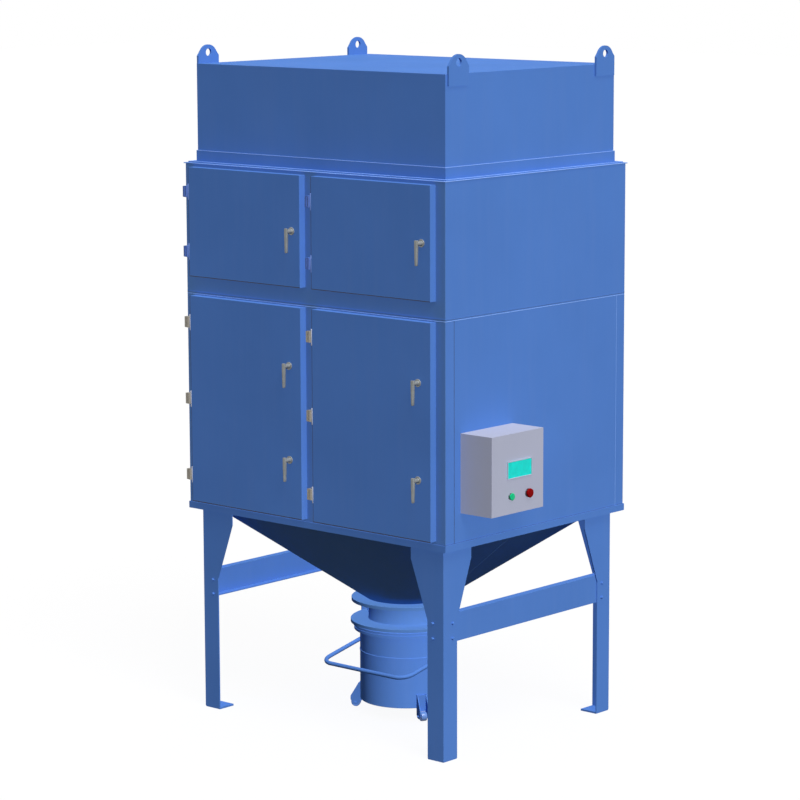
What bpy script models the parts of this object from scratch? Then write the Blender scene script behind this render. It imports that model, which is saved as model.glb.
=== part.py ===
# Cartridge dust collector: a two-storey sheet steel cabinet on four legs,
# with a fan box on its roof, four doors, a hopper and a wheeled dust bin.
# Metres, +Z up, the front with the doors faces -Y.
# The origin is on the floor under the middle of the whole machine's box.

import math

import bmesh
import bpy
from mathutils import Matrix, Vector

# Clearances
SEAT = 0.0003            # between pieces that touch
SHEET = 0.004            # cabinet, fan box and hopper sheet

# Cabinet
CABINET_W = 1.780
CABINET_D = 1.430
BASE_Z = 1.085           # floor to the underside of the base frame
BASE_H = 0.035
BASE_BAND_T = 0.005
BASE_FLANGE_T = 0.006
BASE_FLANGE_W = 0.115
LOWER_H = 1.155          # base frame underside to tube sheet
UPPER_H = 0.664
TUBE_SHEET_T = 0.006
TUBE_SHEET_LEDGE = 0.003
ROOF_T = 0.005
ROOF_LEDGE = 0.007

# Fan box on the roof
FAN_BOX_INSET_X = 0.041  # in from the cabinet's sides
FAN_BOX_INSET_Y = 0.050
FAN_BOX_H = 0.510
ANGLE_H = 0.060
ANGLE_W = 0.035
ANGLE_T = 0.005

# Lifting lugs
LUG_W = 0.150
LUG_T = 0.012
LUG_INSET = 0.013
LUG_HOLE_R = 0.015
LUG_TOP_R = 0.042
LUG_HOLE_RISE = 0.057    # hole above the roof of the fan box
LUG_SHOULDER = -0.010    # shoulder, from the hole
LUG_BELOW_ROOF = 0.058
LUG_ARC_START = 50.0

# Legs
LEG_INSET_X = 0.050
LEG_INSET_Y = 0.0425
LEG_W = 0.105
LEG_TOP_W = 0.214
LEG_T = 0.006
LEG_STRAIGHT_TOP = 0.070
LEG_TAPER_END = 0.370    # below the base frame
FOOT_T = 0.010

# Side braces
BRACE_H = 0.146
BRACE_Z = 0.677          # middle height
BRACE_LIP = 0.045
BRACE_T = 0.005
BRACE_OVERLAP = 0.085    # behind each leg flange

# Doors
DOOR_T = 0.042
DOOR_SHEET = 0.003
DOOR_SIDE_MARGIN = 0.060
DOOR_MIDDLE_GAP = 0.080
DOOR_LAP = 0.030
UPPER_DOOR_DROP = 0.020  # door top below the roof plate
UPPER_DOOR_RISE = 0.081  # door bottom above the tube sheet
LOWER_DOOR_DROP = 0.016
LOWER_DOOR_RISE = 0.015

# Hinges
HINGE_H = 0.058
HINGE_R = 0.010
HINGE_PIN_R = 0.004
HINGE_PIN_CLEAR = 0.0004
HINGE_PLAY = 0.0006
HINGE_AXIS_GAP = 0.018   # axis to the door's edge
HINGE_AXIS_BACK = 0.006  # axis behind the door's face
HINGE_EAR_T = 0.005
HINGE_EAR_HALF = 0.007
HINGE_POST_W = 0.010
HINGE_POST_OUT = 0.008   # post in front of the axis
HINGE_POST_DROP = 0.001  # post ends below and above the ears' faces
HINGE_CLEAR = 0.002      # barrel to post
HINGE_LINK_FRONT = 0.002
HINGE_LINK_BACK = 0.008
HINGE_LEAF_T = 0.003
HINGE_LEAF_H = 0.084
HINGE_LEAF_FRONT = 0.003
HINGE_LEAF_BACK = 0.027
UPPER_HINGE_INSET = 0.128
LOWER_HINGE_INSET = 0.140

# Door handles
HANDLE_EDGE_UPPER = 0.055
HANDLE_EDGE_LOWER = 0.080
HANDLE_INSET_LOWER = 0.302
ROSE_R = 0.022
ROSE_T = 0.004
SPINDLE_R = 0.010
LEVER_W = 0.016
LEVER_T = 0.015
LEVER_UP = 0.017
LEVER_DOWN = 0.108
LEVER_TIP_W = 0.011
LEVER_STANDOFF = 0.030
LEVER_BEVEL = 0.002

# Cartridges under the tube sheet
CARTRIDGE_R = 0.1625
CARTRIDGE_BORE_R = 0.100
CARTRIDGE_CAP_T = 0.020
CARTRIDGE_FLOOR_GAP = 0.155   # lower ends above the base frame's underside
CARTRIDGE_SIDE_GAP = 0.071    # from the side walls
CARTRIDGE_END_GAP = 0.2385    # from the back wall and the front frame
CARTRIDGE_COLUMNS = 4
CARTRIDGE_ROWS = 2
TUBE_HOLE_EXTRA = 0.005

# Hopper and its outlet
HOPPER_MARGIN_X = 0.110  # in from the cabinet's sides
HOPPER_MARGIN_Y = 0.095
HOPPER_LIP = 0.022
HOPPER_INSET = 0.006     # level thickness of the sloping sheet
HOPPER_BOTTOM_R = 0.213
OUTLET_Z = 0.616         # top face of the outlet flange
OUTLET_R = 0.290
OUTLET_T = 0.018
NECK_R = 0.200
NECK_T = 0.006
LID_R = 0.295
LID_T = 0.017
LID_Z = 0.499            # top face of the lid
LID_BRACKET_W = 0.030
LID_BRACKET_T = 0.006
LID_BRACKET_X = 0.262

# Dust bin
BIN_LID_GAP = 0.0055
BIN_R = 0.246
BIN_WALL = 0.004
BIN_BOTTOM_Z = 0.063
BIN_FLOOR_T = 0.005
BIN_RIM_R = 0.284
BIN_RIM_T = 0.006
BIN_RING_R = 0.276
BIN_RING_T = 0.026
BEAD_Z = 0.331
BEAD_R = 0.248
BEAD_H = 0.008

# Push handle of the bin
GRIP_R = 0.011
GRIP_HALF_W = 0.296
GRIP_FRONT = 0.351
GRIP_END_Y = 0.0
GRIP_Z = 0.3485          # height beside the bin's middle
GRIP_SLOPE = 0.209       # rise for each metre back
GRIP_BEND_R = 0.073
GRIP_END_BEND_R = 0.022

# Casters of the bin
CASTERS = (("front_left", 210), ("front_right", 330), ("back", 90))
CASTER_REACH = 0.2745    # axle from the bin's middle
WHEEL_R = 0.025
WHEEL_W = 0.033
WHEEL_TREAD_BEVEL = 0.004
AXLE_R = 0.004
AXLE_CLEAR = 0.0004
AXLE_END = 0.003         # axle ends beyond the cheeks
CHEEK_T = 0.005
CHEEK_GAP = 0.005
CHEEK_OUT = 0.0255       # cheeks' outer edge from the axle
CHEEK_TOP_OUT = 0.009    # reach of the cheeks' top from the bin's wall
CHEEK_SHOULDER_Z = 0.060
CHEEK_LOW_Z = 0.042
CHEEK_FOOT_HALF = 0.012
CHEEK_FOOT_Z = 0.013
FORK_TOP_Z = 0.136
SADDLE_Z = 0.046
SADDLE_T = 0.008
SADDLE_DROP = 0.003      # saddle's top below the cheeks' top

# Control box on the right wall
CONTROL_DEPTH = 0.200
CONTROL_W = 0.400
CONTROL_H = 0.400
CONTROL_SHEET = 0.003
CONTROL_INSET_Y = 0.115  # in from the cabinet's front
CONTROL_Z = 1.267
CONTROL_BEVEL = 0.003
SCREEN_W = 0.184
SCREEN_H = 0.081
SCREEN_T = 0.005
SCREEN_Y = 0.116         # from the box's near side
SCREEN_Z = 0.180         # from the box's underside
BUTTON_Z = 0.088
START_Y = 0.1455
STOP_Y = 0.280
START_R = 0.018
STOP_R = 0.023
BUTTON_STEM_R = 0.009
BUTTON_STEM_CLEAR = 0.0006
BUTTON_STANDOFF = 0.0090
BUTTON_STEM_IN = 0.010
START_CAP_T = 0.006
STOP_CAP_T = 0.012

ROUND = 48
HALF_ROUND = 24
SMALL_ROUND = 16

# Worked out from the sizes above
HALF_W = CABINET_W / 2
HALF_D = CABINET_D / 2
FAN_BOX_W = CABINET_W - 2 * FAN_BOX_INSET_X
FAN_BOX_D = CABINET_D - 2 * FAN_BOX_INSET_Y
HOPPER_TOP_W = CABINET_W - 2 * HOPPER_MARGIN_X
HOPPER_TOP_D = CABINET_D - 2 * HOPPER_MARGIN_Y
CARTRIDGE_L = LOWER_H - CARTRIDGE_FLOOR_GAP
CARTRIDGE_SPAN_X = CABINET_W - 2 * (SHEET + CARTRIDGE_SIDE_GAP + CARTRIDGE_R)
CARTRIDGE_SPAN_Y = CABINET_D - 2 * (SHEET + CARTRIDGE_END_GAP + CARTRIDGE_R)
TUBE_SHEET_Z = BASE_Z + LOWER_H
UPPER_Z = TUBE_SHEET_Z + TUBE_SHEET_T
ROOF_Z = UPPER_Z + UPPER_H
FAN_BOX_Z = ROOF_Z + ROOF_T
FAN_ROOF_Z = FAN_BOX_Z + FAN_BOX_H
DOOR_FACE_Y = -HALF_D - SEAT - DOOR_T
DOOR_W = HALF_W - DOOR_SIDE_MARGIN - DOOR_MIDDLE_GAP / 2
FRONT_REACH = DOOR_T + LEVER_STANDOFF + LEVER_T + 2 * SEAT
STOP_REACH = BUTTON_STANDOFF + STOP_CAP_T
CONTROL_FRONT_Y = -HALF_D + CONTROL_INSET_Y
LEG_X = HALF_W - LEG_INSET_X
LEG_Y = HALF_D - LEG_INSET_Y
BIN_TOP_Z = LID_Z - LID_T - BIN_LID_GAP
MACHINE_X = -(CONTROL_DEPTH + STOP_REACH - ROOF_LEDGE) / 2
MACHINE_Y = (FRONT_REACH - ROOF_LEDGE) / 2


def new_collection(name):
    collection = bpy.data.collections.new(name)
    bpy.context.scene.collection.children.link(collection)
    return collection


def paint(name, color, roughness, metallic=0.0):
    material = bpy.data.materials.new(name)
    material.use_nodes = True
    shader = material.node_tree.nodes["Principled BSDF"]
    shader.inputs["Base Color"].default_value = (*color, 1.0)
    shader.inputs["Roughness"].default_value = roughness
    shader.inputs["Metallic"].default_value = metallic
    material.diffuse_color = (*color, 1.0)
    return material


def add_part(name, mesh, material, location=(0, 0, 0), rotation=(0, 0, 0), parent=None):
    piece = bpy.data.objects.new(name, mesh)
    parts.objects.link(piece)
    piece.data.materials.append(material)
    piece.parent = parent or machine
    piece.location = location
    piece.rotation_euler = rotation
    return piece


def add_cutter(name, mesh, location=(0, 0, 0), rotation=(0, 0, 0), parent=None):
    cutter = bpy.data.objects.new(name, mesh)
    cutters.objects.link(cutter)
    cutter.parent = parent or machine
    cutter.location = location
    cutter.rotation_euler = rotation
    cutter.hide_render = True
    cutter.display_type = "WIRE"
    return cutter


def combine(piece, other, operation):
    boolean = piece.modifiers.new(other.name, "BOOLEAN")
    boolean.operation = operation
    boolean.solver = "EXACT"
    boolean.object = other


def cut(piece, cutter):
    combine(piece, cutter, "DIFFERENCE")


def join(piece, other):
    combine(piece, other, "UNION")


def box_mesh(name, low, high):
    size = [b - a for a, b in zip(low, high)]
    middle = [(a + b) / 2 for a, b in zip(low, high)]
    mesh = bpy.data.meshes.new(name)
    bm = bmesh.new()
    placing = Matrix.Translation(middle) @ Matrix.Diagonal((*size, 1.0))
    bmesh.ops.create_cube(bm, size=1.0, matrix=placing)
    bm.to_mesh(mesh)
    bm.free()
    return mesh


def rod_mesh(name, radius, start, end, segments=SMALL_ROUND):
    start = Vector(start)
    along = Vector(end) - start
    mesh = bpy.data.meshes.new(name)
    bm = bmesh.new()
    turn = along.to_track_quat("Z", "Y").to_matrix().to_4x4()
    placing = Matrix.Translation(start + along / 2) @ turn
    bmesh.ops.create_cone(bm, cap_ends=True, segments=segments, radius1=radius,
                          radius2=radius, depth=along.length, matrix=placing)
    bm.to_mesh(mesh)
    bm.free()
    return mesh


def open_box_mesh(name, low, high, open_side):
    mesh = box_mesh(name, low, high)
    bm = bmesh.new()
    bm.from_mesh(mesh)
    side = Vector(open_side)
    gone = [face for face in bm.faces if face.normal.dot(side) > 0.5]
    bmesh.ops.delete(bm, geom=gone, context="FACES")
    bm.to_mesh(mesh)
    bm.free()
    return mesh


def ring(radius, segments, centre=(0.0, 0.0)):
    return [(centre[0] + radius * math.cos(2 * math.pi * i / segments),
             centre[1] + radius * math.sin(2 * math.pi * i / segments))
            for i in range(segments)]


def rectangle(low, high):
    return [(low[0], low[1]), (high[0], low[1]), (high[0], high[1]), (low[0], high[1])]


def plate_mesh(name, outline, thickness, holes=()):
    curve = bpy.data.curves.new(name, "CURVE")
    curve.dimensions = "2D"
    curve.fill_mode = "BOTH"
    curve.extrude = thickness / 2
    for loop in (outline, *holes):
        spline = curve.splines.new("POLY")
        spline.points.add(len(loop) - 1)
        for point, (u, v) in zip(spline.points, loop):
            point.co = (u, v, 0.0, 1.0)
        spline.use_cyclic_u = True
    guide = bpy.data.objects.new(name, curve)
    return solid_from_curve(guide)


def solid_from_curve(guide):
    cutters.objects.link(guide)
    depsgraph = bpy.context.evaluated_depsgraph_get()
    mesh = bpy.data.meshes.new_from_object(guide.evaluated_get(depsgraph))
    bpy.data.objects.remove(guide)
    bm = bmesh.new()
    bm.from_mesh(mesh)
    bmesh.ops.remove_doubles(bm, verts=bm.verts, dist=0.00001)
    bmesh.ops.recalc_face_normals(bm, faces=bm.faces)
    bm.to_mesh(mesh)
    bm.free()
    return mesh


def profile_mesh(name, points, closed=False):
    mesh = bpy.data.meshes.new(name)
    bm = bmesh.new()
    verts = [bm.verts.new((r, 0.0, z)) for r, z in points]
    pairs = list(zip(verts, verts[1:]))
    if closed:
        pairs.append((verts[-1], verts[0]))
    for a, b in pairs:
        bm.edges.new((a, b))
    bm.to_mesh(mesh)
    bm.free()
    return mesh


def turn(piece, segments):
    screw = piece.modifiers.new("turned", "SCREW")
    screw.axis = "Z"
    screw.angle = 2 * math.pi
    screw.steps = segments
    screw.render_steps = segments
    screw.use_merge_vertices = True
    screw.merge_threshold = 0.00005
    screw.use_smooth_shade = False


def thicken(piece, thickness, offset=-1.0):
    solidify = piece.modifiers.new("sheet", "SOLIDIFY")
    solidify.thickness = thickness
    solidify.offset = offset
    solidify.use_even_offset = True
    solidify.use_quality_normals = True


def round_edges(piece, width, segments=1):
    bevel = piece.modifiers.new("edges", "BEVEL")
    bevel.width = width
    bevel.segments = segments
    bevel.limit_method = "ANGLE"


STAND_X = (math.radians(90), 0, 0)                  # plate in X and Z
STAND_Y = (math.radians(90), 0, math.radians(90))   # plate in Y and Z


# Base frame: a flat flange ring with an upright band round the outside
def make_base_frame():
    inner_w = HALF_W - BASE_FLANGE_W
    inner_d = HALF_D - BASE_FLANGE_W
    band_w = HALF_W + SEAT + BASE_BAND_T
    band_d = HALF_D + SEAT + BASE_BAND_T
    outer = rectangle((-band_w, -band_d), (band_w, band_d))
    hole = rectangle((-inner_w, -inner_d), (inner_w, inner_d))
    flange = plate_mesh("base_frame", outer, BASE_FLANGE_T, [hole])
    frame = add_part("base_frame", flange, blue, (0, 0, BASE_Z + BASE_FLANGE_T / 2))
    inside = rectangle((-HALF_W - SEAT, -HALF_D - SEAT), (HALF_W + SEAT, HALF_D + SEAT))
    band = plate_mesh("base_band", outer, BASE_H, [inside])
    join(frame, add_cutter("base_band", band, (0, 0, BASE_Z + BASE_H / 2)))


# A leg: an angle tapered on both flanges, on a foot plate
def make_leg(name, side_x, side_y):
    top = BASE_Z - SEAT
    low = FOOT_T / 2
    section = [(0, 0), (LEG_TOP_W, 0), (LEG_TOP_W, LEG_T), (LEG_T, LEG_T),
               (LEG_T, LEG_TOP_W), (0, LEG_TOP_W)]
    section = [(-side_x * u, -side_y * v) for u, v in section]
    angle = plate_mesh(name, section, top - low)
    for vert in angle.vertices:
        vert.co.z += (top + low) / 2
    leg = add_part(name, angle, blue, (side_x * LEG_X, side_y * LEG_Y, 0))
    beyond = LEG_TOP_W * 1.5
    waste = [(beyond, -LEG_T), (LEG_W, -LEG_T), (LEG_W, BASE_Z - LEG_TAPER_END),
             (LEG_TOP_W, BASE_Z - LEG_STRAIGHT_TOP), (beyond, BASE_Z - LEG_STRAIGHT_TOP)]
    front = [(-side_x * u, v) for u, v in waste]
    cut(leg, add_cutter(name + "_front_taper", plate_mesh(name + "_front", front, 4 * LEG_T),
                        (0, 0, 0), STAND_X, parent=leg))
    side = [(-side_y * u, v) for u, v in waste]
    cut(leg, add_cutter(name + "_side_taper", plate_mesh(name + "_side", side, 4 * LEG_T),
                        (0, 0, 0), STAND_Y, parent=leg))
    near = LEG_T / 3
    corners = ((-side_x * near, -side_y * near, 0), (-side_x * LEG_W, -side_y * LEG_W, FOOT_T))
    corner_low = [min(pair) for pair in zip(*corners)]
    corner_high = [max(pair) for pair in zip(*corners)]
    join(leg, add_cutter(name + "_foot", box_mesh(name + "_foot", corner_low, corner_high),
                         parent=leg))


# A side brace: a channel with its web outside and its lips turned in
def make_brace(name, side_x):
    reach = LEG_Y - LEG_W + BRACE_OVERLAP
    half_h = BRACE_H / 2
    web_x = LEG_X - LEG_T - SEAT
    section = [(web_x, -half_h), (web_x, half_h), (web_x - BRACE_LIP, half_h),
               (web_x - BRACE_LIP, half_h - BRACE_T), (web_x - BRACE_T, half_h - BRACE_T),
               (web_x - BRACE_T, -half_h + BRACE_T), (web_x - BRACE_LIP, -half_h + BRACE_T),
               (web_x - BRACE_LIP, -half_h)]
    section = [(side_x * u, v) for u, v in section]
    add_part(name, plate_mesh(name, section, 2 * reach), blue, (0, 0, BRACE_Z), STAND_X)


# Side and back walls of one storey
def make_walls(storey, low_z, high_z):
    inner_d = HALF_D - SHEET - SEAT
    for side, sign in (("left", -1), ("right", 1)):
        inside = sign * (HALF_W - SHEET)
        outside = sign * HALF_W
        name = f"{storey}_{side}_wall"
        low = (min(inside, outside), -inner_d, low_z)
        high = (max(inside, outside), inner_d, high_z)
        add_part(name, box_mesh(name, low, high), blue)
    name = f"{storey}_back_wall"
    add_part(name, box_mesh(name, (-HALF_W, HALF_D - SHEET, low_z),
                            (HALF_W, HALF_D, high_z)), blue)


def door_spans():
    left = -HALF_W + DOOR_SIDE_MARGIN
    right = DOOR_MIDDLE_GAP / 2
    return {"left": left, "right": right}


# Outline of a hinge's ear: a strip from the post, round at the pin
def ear_outline():
    reach = HINGE_R + HINGE_CLEAR + HINGE_POST_W / 2
    start = math.pi - math.asin(HINGE_EAR_HALF / HINGE_R)
    steps = 10
    outline = [(-reach, -HINGE_EAR_HALF)]
    for i in range(steps + 1):
        angle = start * (2 * i / steps - 1)
        outline.append((HINGE_R * math.cos(angle), HINGE_R * math.sin(angle)))
    outline.append((-reach, HINGE_EAR_HALF))
    return outline


# Frame round the two doors of a storey, with the fixed halves of its hinges
def make_front_frame(storey, low_z, high_z, door_low, door_high, hinge_heights):
    name = f"{storey}_front_frame"
    outline = rectangle((-HALF_W, low_z), (HALF_W, high_z))
    holes = []
    for left in door_spans().values():
        holes.append(rectangle((left + DOOR_LAP, door_low + DOOR_LAP),
                               (left + DOOR_W - DOOR_LAP, door_high - DOOR_LAP)))
    frame = add_part(name, plate_mesh(name, outline, SHEET, holes), blue,
                     (0, -HALF_D + SHEET / 2, 0), STAND_X)
    axis_y = DOOR_FACE_Y + HINGE_AXIS_BACK
    half = HINGE_H / 2
    post_half = half - HINGE_POST_DROP
    for side, left in door_spans().items():
        axis_x = left - HINGE_AXIS_GAP
        post_right = axis_x - HINGE_R - HINGE_CLEAR
        for number, height in enumerate(hinge_heights, start=1):
            label = f"{storey}_{side}_hinge_{number}"
            post = box_mesh(label + "_post",
                            (post_right - HINGE_POST_W, axis_y - HINGE_POST_OUT,
                             height - post_half),
                            (post_right, -HALF_D + SHEET / 2, height + post_half))
            join(frame, add_cutter(label + "_post", post))
            for end, sign in (("lower", -1), ("upper", 1)):
                ear = plate_mesh(f"{label}_{end}_ear", ear_outline(), HINGE_EAR_T)
                join(frame, add_cutter(f"{label}_{end}_ear", ear,
                                       (axis_x, axis_y, height + sign * (half - HINGE_EAR_T / 2))))
            pin = rod_mesh(label + "_pin", HINGE_PIN_R,
                           (axis_x, axis_y, height - half + HINGE_EAR_T / 2),
                           (axis_x, axis_y, height + half - HINGE_EAR_T / 2))
            join(frame, add_cutter(label + "_pin", pin))


# A door: a pan of bent sheet that carries the moving halves of its hinges
def make_door(storey, side, low_z, high_z, hinge_heights):
    name = f"{storey}_{side}_door"
    left = door_spans()[side]
    axis = (left - HINGE_AXIS_GAP, DOOR_FACE_Y + HINGE_AXIS_BACK, low_z)
    low = (HINGE_AXIS_GAP, -HINGE_AXIS_BACK, 0)
    high = (HINGE_AXIS_GAP + DOOR_W, DOOR_T - HINGE_AXIS_BACK, high_z - low_z)
    door = add_part(name, open_box_mesh(name, low, high, (0, 1, 0)), blue, axis)
    thicken(door, DOOR_SHEET)
    hole = ring(HINGE_PIN_R + HINGE_PIN_CLEAR, SMALL_ROUND)
    barrel_h = HINGE_H - 2 * (HINGE_EAR_T + HINGE_PLAY)
    link_half = barrel_h / 2 - HINGE_EAR_T / 2
    for number, height in enumerate(hinge_heights, start=1):
        label = f"{name}_barrel_{number}"
        middle = height - low_z
        barrel = plate_mesh(label, ring(HINGE_R, SMALL_ROUND), barrel_h, [hole])
        join(door, add_cutter(label, barrel, (0, 0, middle), parent=door))
        leaf = box_mesh(label + "_leaf",
                        (HINGE_AXIS_GAP - HINGE_LEAF_T, -HINGE_LEAF_FRONT,
                         middle - HINGE_LEAF_H / 2),
                        (HINGE_AXIS_GAP + DOOR_SHEET / 2, HINGE_LEAF_BACK,
                         middle + HINGE_LEAF_H / 2))
        join(door, add_cutter(label + "_leaf", leaf, parent=door))
        link = box_mesh(label + "_link",
                        (HINGE_R * 0.75, -HINGE_LINK_FRONT, middle - link_half),
                        (HINGE_AXIS_GAP - HINGE_LEAF_T / 2, HINGE_LINK_BACK, middle + link_half))
        join(door, add_cutter(label + "_link", link, parent=door))
    return door


# An L-handle: rose and spindle on the door, lever hanging down
def make_handle(name, side, edge, height, door):
    left = door_spans()[side]
    face = (left + DOOR_W - edge, DOOR_FACE_Y - SEAT, height)
    face = tuple(a - b for a, b in zip(face, door.location))
    out = LEVER_STANDOFF + LEVER_T
    rose = rod_mesh(name, ROSE_R, (0, 0, 0), (0, -ROSE_T, 0), HALF_ROUND)
    handle = add_part(name, rose, steel, face, parent=door)
    spindle = rod_mesh(name + "_spindle", SPINDLE_R, (0, -ROSE_T / 2, 0),
                       (0, -LEVER_STANDOFF - LEVER_T / 2, 0))
    join(handle, add_cutter(name + "_spindle", spindle, parent=handle))
    lever = box_mesh(name + "_lever", (-LEVER_W / 2, -out, -LEVER_DOWN),
                     (LEVER_W / 2, -LEVER_STANDOFF, LEVER_UP))
    for vert in lever.vertices:
        if vert.co.z < 0:
            vert.co.x *= LEVER_TIP_W / LEVER_W
    lever_piece = add_cutter(name + "_lever", lever, parent=handle)
    round_edges(lever_piece, LEVER_BEVEL)
    join(handle, lever_piece)


# Tube sheet between the storeys with the cartridges that hang from it
def make_cartridges():
    half_w = HALF_W + TUBE_SHEET_LEDGE
    half_d = HALF_D + TUBE_SHEET_LEDGE
    places = []
    for column in range(CARTRIDGE_COLUMNS):
        for row in range(CARTRIDGE_ROWS):
            x = (column / (CARTRIDGE_COLUMNS - 1) - 0.5) * CARTRIDGE_SPAN_X
            y = (row / (CARTRIDGE_ROWS - 1) - 0.5) * CARTRIDGE_SPAN_Y
            places.append((x, y))
    holes = [ring(CARTRIDGE_BORE_R + TUBE_HOLE_EXTRA, HALF_ROUND, place) for place in places]
    outline = rectangle((-half_w, -half_d), (half_w, half_d))
    sheet = plate_mesh("filter_cartridges", outline, TUBE_SHEET_T, holes)
    carrier = add_part("filter_cartridges", sheet, media,
                       (0, 0, TUBE_SHEET_Z + TUBE_SHEET_T / 2))
    top = -TUBE_SHEET_T / 4
    bottom = top - CARTRIDGE_L
    outline = [(0, bottom + CARTRIDGE_CAP_T), (CARTRIDGE_BORE_R, bottom + CARTRIDGE_CAP_T),
               (CARTRIDGE_BORE_R, top), (CARTRIDGE_R, top), (CARTRIDGE_R, bottom), (0, bottom)]
    for number, (x, y) in enumerate(places, start=1):
        label = f"cartridge_{number}"
        cartridge = add_cutter(label, profile_mesh(label, outline), (x, y, 0), parent=carrier)
        turn(cartridge, HALF_ROUND)
        join(carrier, cartridge)


def make_roof():
    half_w = HALF_W + ROOF_LEDGE
    half_d = HALF_D + ROOF_LEDGE
    add_part("cabinet_roof", box_mesh("cabinet_roof", (-half_w, -half_d, ROOF_Z),
                                      (half_w, half_d, FAN_BOX_Z - SEAT)), blue)


# Fan box: an open-bottomed shell, with an angle round its foot
def make_fan_box():
    half_w = FAN_BOX_W / 2
    half_d = FAN_BOX_D / 2
    shell = open_box_mesh("fan_box", (-half_w, -half_d, FAN_BOX_Z),
                          (half_w, half_d, FAN_ROOF_Z), (0, 0, -1))
    fan_box = add_part("fan_box", shell, blue)
    thicken(fan_box, SHEET)
    inner = rectangle((-half_w - SEAT, -half_d - SEAT), (half_w + SEAT, half_d + SEAT))
    reach = ANGLE_T + SEAT
    upright = rectangle((-half_w - reach, -half_d - reach), (half_w + reach, half_d + reach))
    band = plate_mesh("fan_box_angle", upright, ANGLE_H, [inner])
    angle = add_part("fan_box_angle", band, blue, (0, 0, FAN_BOX_Z + ANGLE_H / 2))
    reach = ANGLE_W + SEAT
    flat = rectangle((-half_w - reach, -half_d - reach), (half_w + reach, half_d + reach))
    foot = plate_mesh("fan_box_angle_foot", flat, ANGLE_T, [inner])
    join(angle, add_cutter("fan_box_angle_foot", foot, (0, 0, FAN_BOX_Z + ANGLE_T / 2)))


# A lifting lug: a plate on the fan box wall, round at the top, with a hole
def make_lug(name, side_x, side_y):
    half = LUG_W / 2
    low = -LUG_HOLE_RISE - LUG_BELOW_ROOF
    outline = [(-half, low), (half, low), (half, LUG_SHOULDER)]
    steps = 8
    for i in range(steps + 1):
        angle = math.radians(LUG_ARC_START + (180 - 2 * LUG_ARC_START) * i / steps)
        outline.append((LUG_TOP_R * math.cos(angle), LUG_TOP_R * math.sin(angle)))
    outline.append((-half, LUG_SHOULDER))
    x = side_x * (FAN_BOX_W / 2 + SEAT + LUG_T / 2)
    y = side_y * (FAN_BOX_D / 2 - LUG_INSET - half)
    hole = ring(LUG_HOLE_R, SMALL_ROUND)
    add_part(name, plate_mesh(name, outline, LUG_T, [hole]), blue,
             (x, y, FAN_ROOF_Z + LUG_HOLE_RISE), STAND_Y)


# Hopper: a lip under the base frame and a square-to-round loft of one sheet
def make_hopper():
    half_w = HOPPER_TOP_W / 2
    half_d = HOPPER_TOP_D / 2
    top = BASE_Z - SEAT
    bottom = OUTLET_Z + SEAT
    mesh = bpy.data.meshes.new("hopper")
    bm = bmesh.new()

    def square(extra, z):
        signs = [(1, 1), (-1, 1), (-1, -1), (1, -1)]
        return [bm.verts.new((sx * (half_w + extra), sy * (half_d + extra), z))
                for sx, sy in signs]

    def circle(radius):
        return [bm.verts.new((x, y, bottom)) for x, y in ring(radius, ROUND)]

    def strip(first, second):
        count = len(first)
        for i in range(count):
            following = (i + 1) % count
            bm.faces.new((first[i], first[following], second[following], second[i]))

    def loft(corners, around):
        quarter = ROUND // 4
        for i in range(4):
            for step in range(quarter):
                a = around[(i * quarter + step) % ROUND]
                b = around[(i * quarter + step + 1) % ROUND]
                bm.faces.new((corners[i], b, a))
            meeting = around[((i + 1) * quarter) % ROUND]
            bm.faces.new((corners[i], corners[(i + 1) % 4], meeting))

    inner_corners = square(-HOPPER_INSET, top)
    lip_top = square(HOPPER_LIP, top)
    lip_under = square(HOPPER_LIP, top - SHEET)
    outer_corners = square(0, top - SHEET)
    outer_circle = circle(HOPPER_BOTTOM_R)
    inner_circle = circle(HOPPER_BOTTOM_R - HOPPER_INSET)
    strip(inner_corners, lip_top)
    strip(lip_top, lip_under)
    strip(lip_under, outer_corners)
    loft(outer_corners, outer_circle)
    strip(outer_circle, inner_circle)
    loft(inner_corners, inner_circle)
    bmesh.ops.recalc_face_normals(bm, faces=bm.faces)
    bm.to_mesh(mesh)
    bm.free()
    add_part("hopper", mesh, dark_blue)


def make_outlet():
    outer = ring(OUTLET_R, ROUND)
    hole = ring(NECK_R - NECK_T, ROUND)
    add_part("outlet_flange", plate_mesh("outlet_flange", outer, OUTLET_T, [hole]), blue,
             (0, 0, OUTLET_Z - OUTLET_T / 2))
    neck_top = OUTLET_Z - OUTLET_T - SEAT
    bore = NECK_R - NECK_T
    profile = [(bore, LID_Z - LID_T), (bore, neck_top), (NECK_R, neck_top),
               (NECK_R, LID_Z), (LID_R, LID_Z), (LID_R, LID_Z - LID_T)]
    turn(add_part("bin_lid", profile_mesh("bin_lid", profile, closed=True), blue), ROUND)
    low_z = LID_Z + SEAT
    high_z = OUTLET_Z - OUTLET_T - SEAT
    for side, sign in (("left", -1), ("right", 1)):
        name = f"lid_bracket_{side}"
        inside = sign * LID_BRACKET_X
        outside = sign * (LID_BRACKET_X + LID_BRACKET_T)
        add_part(name, box_mesh(name, (min(inside, outside), -LID_BRACKET_W / 2, low_z),
                                (max(inside, outside), LID_BRACKET_W / 2, high_z)), blue)


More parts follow.
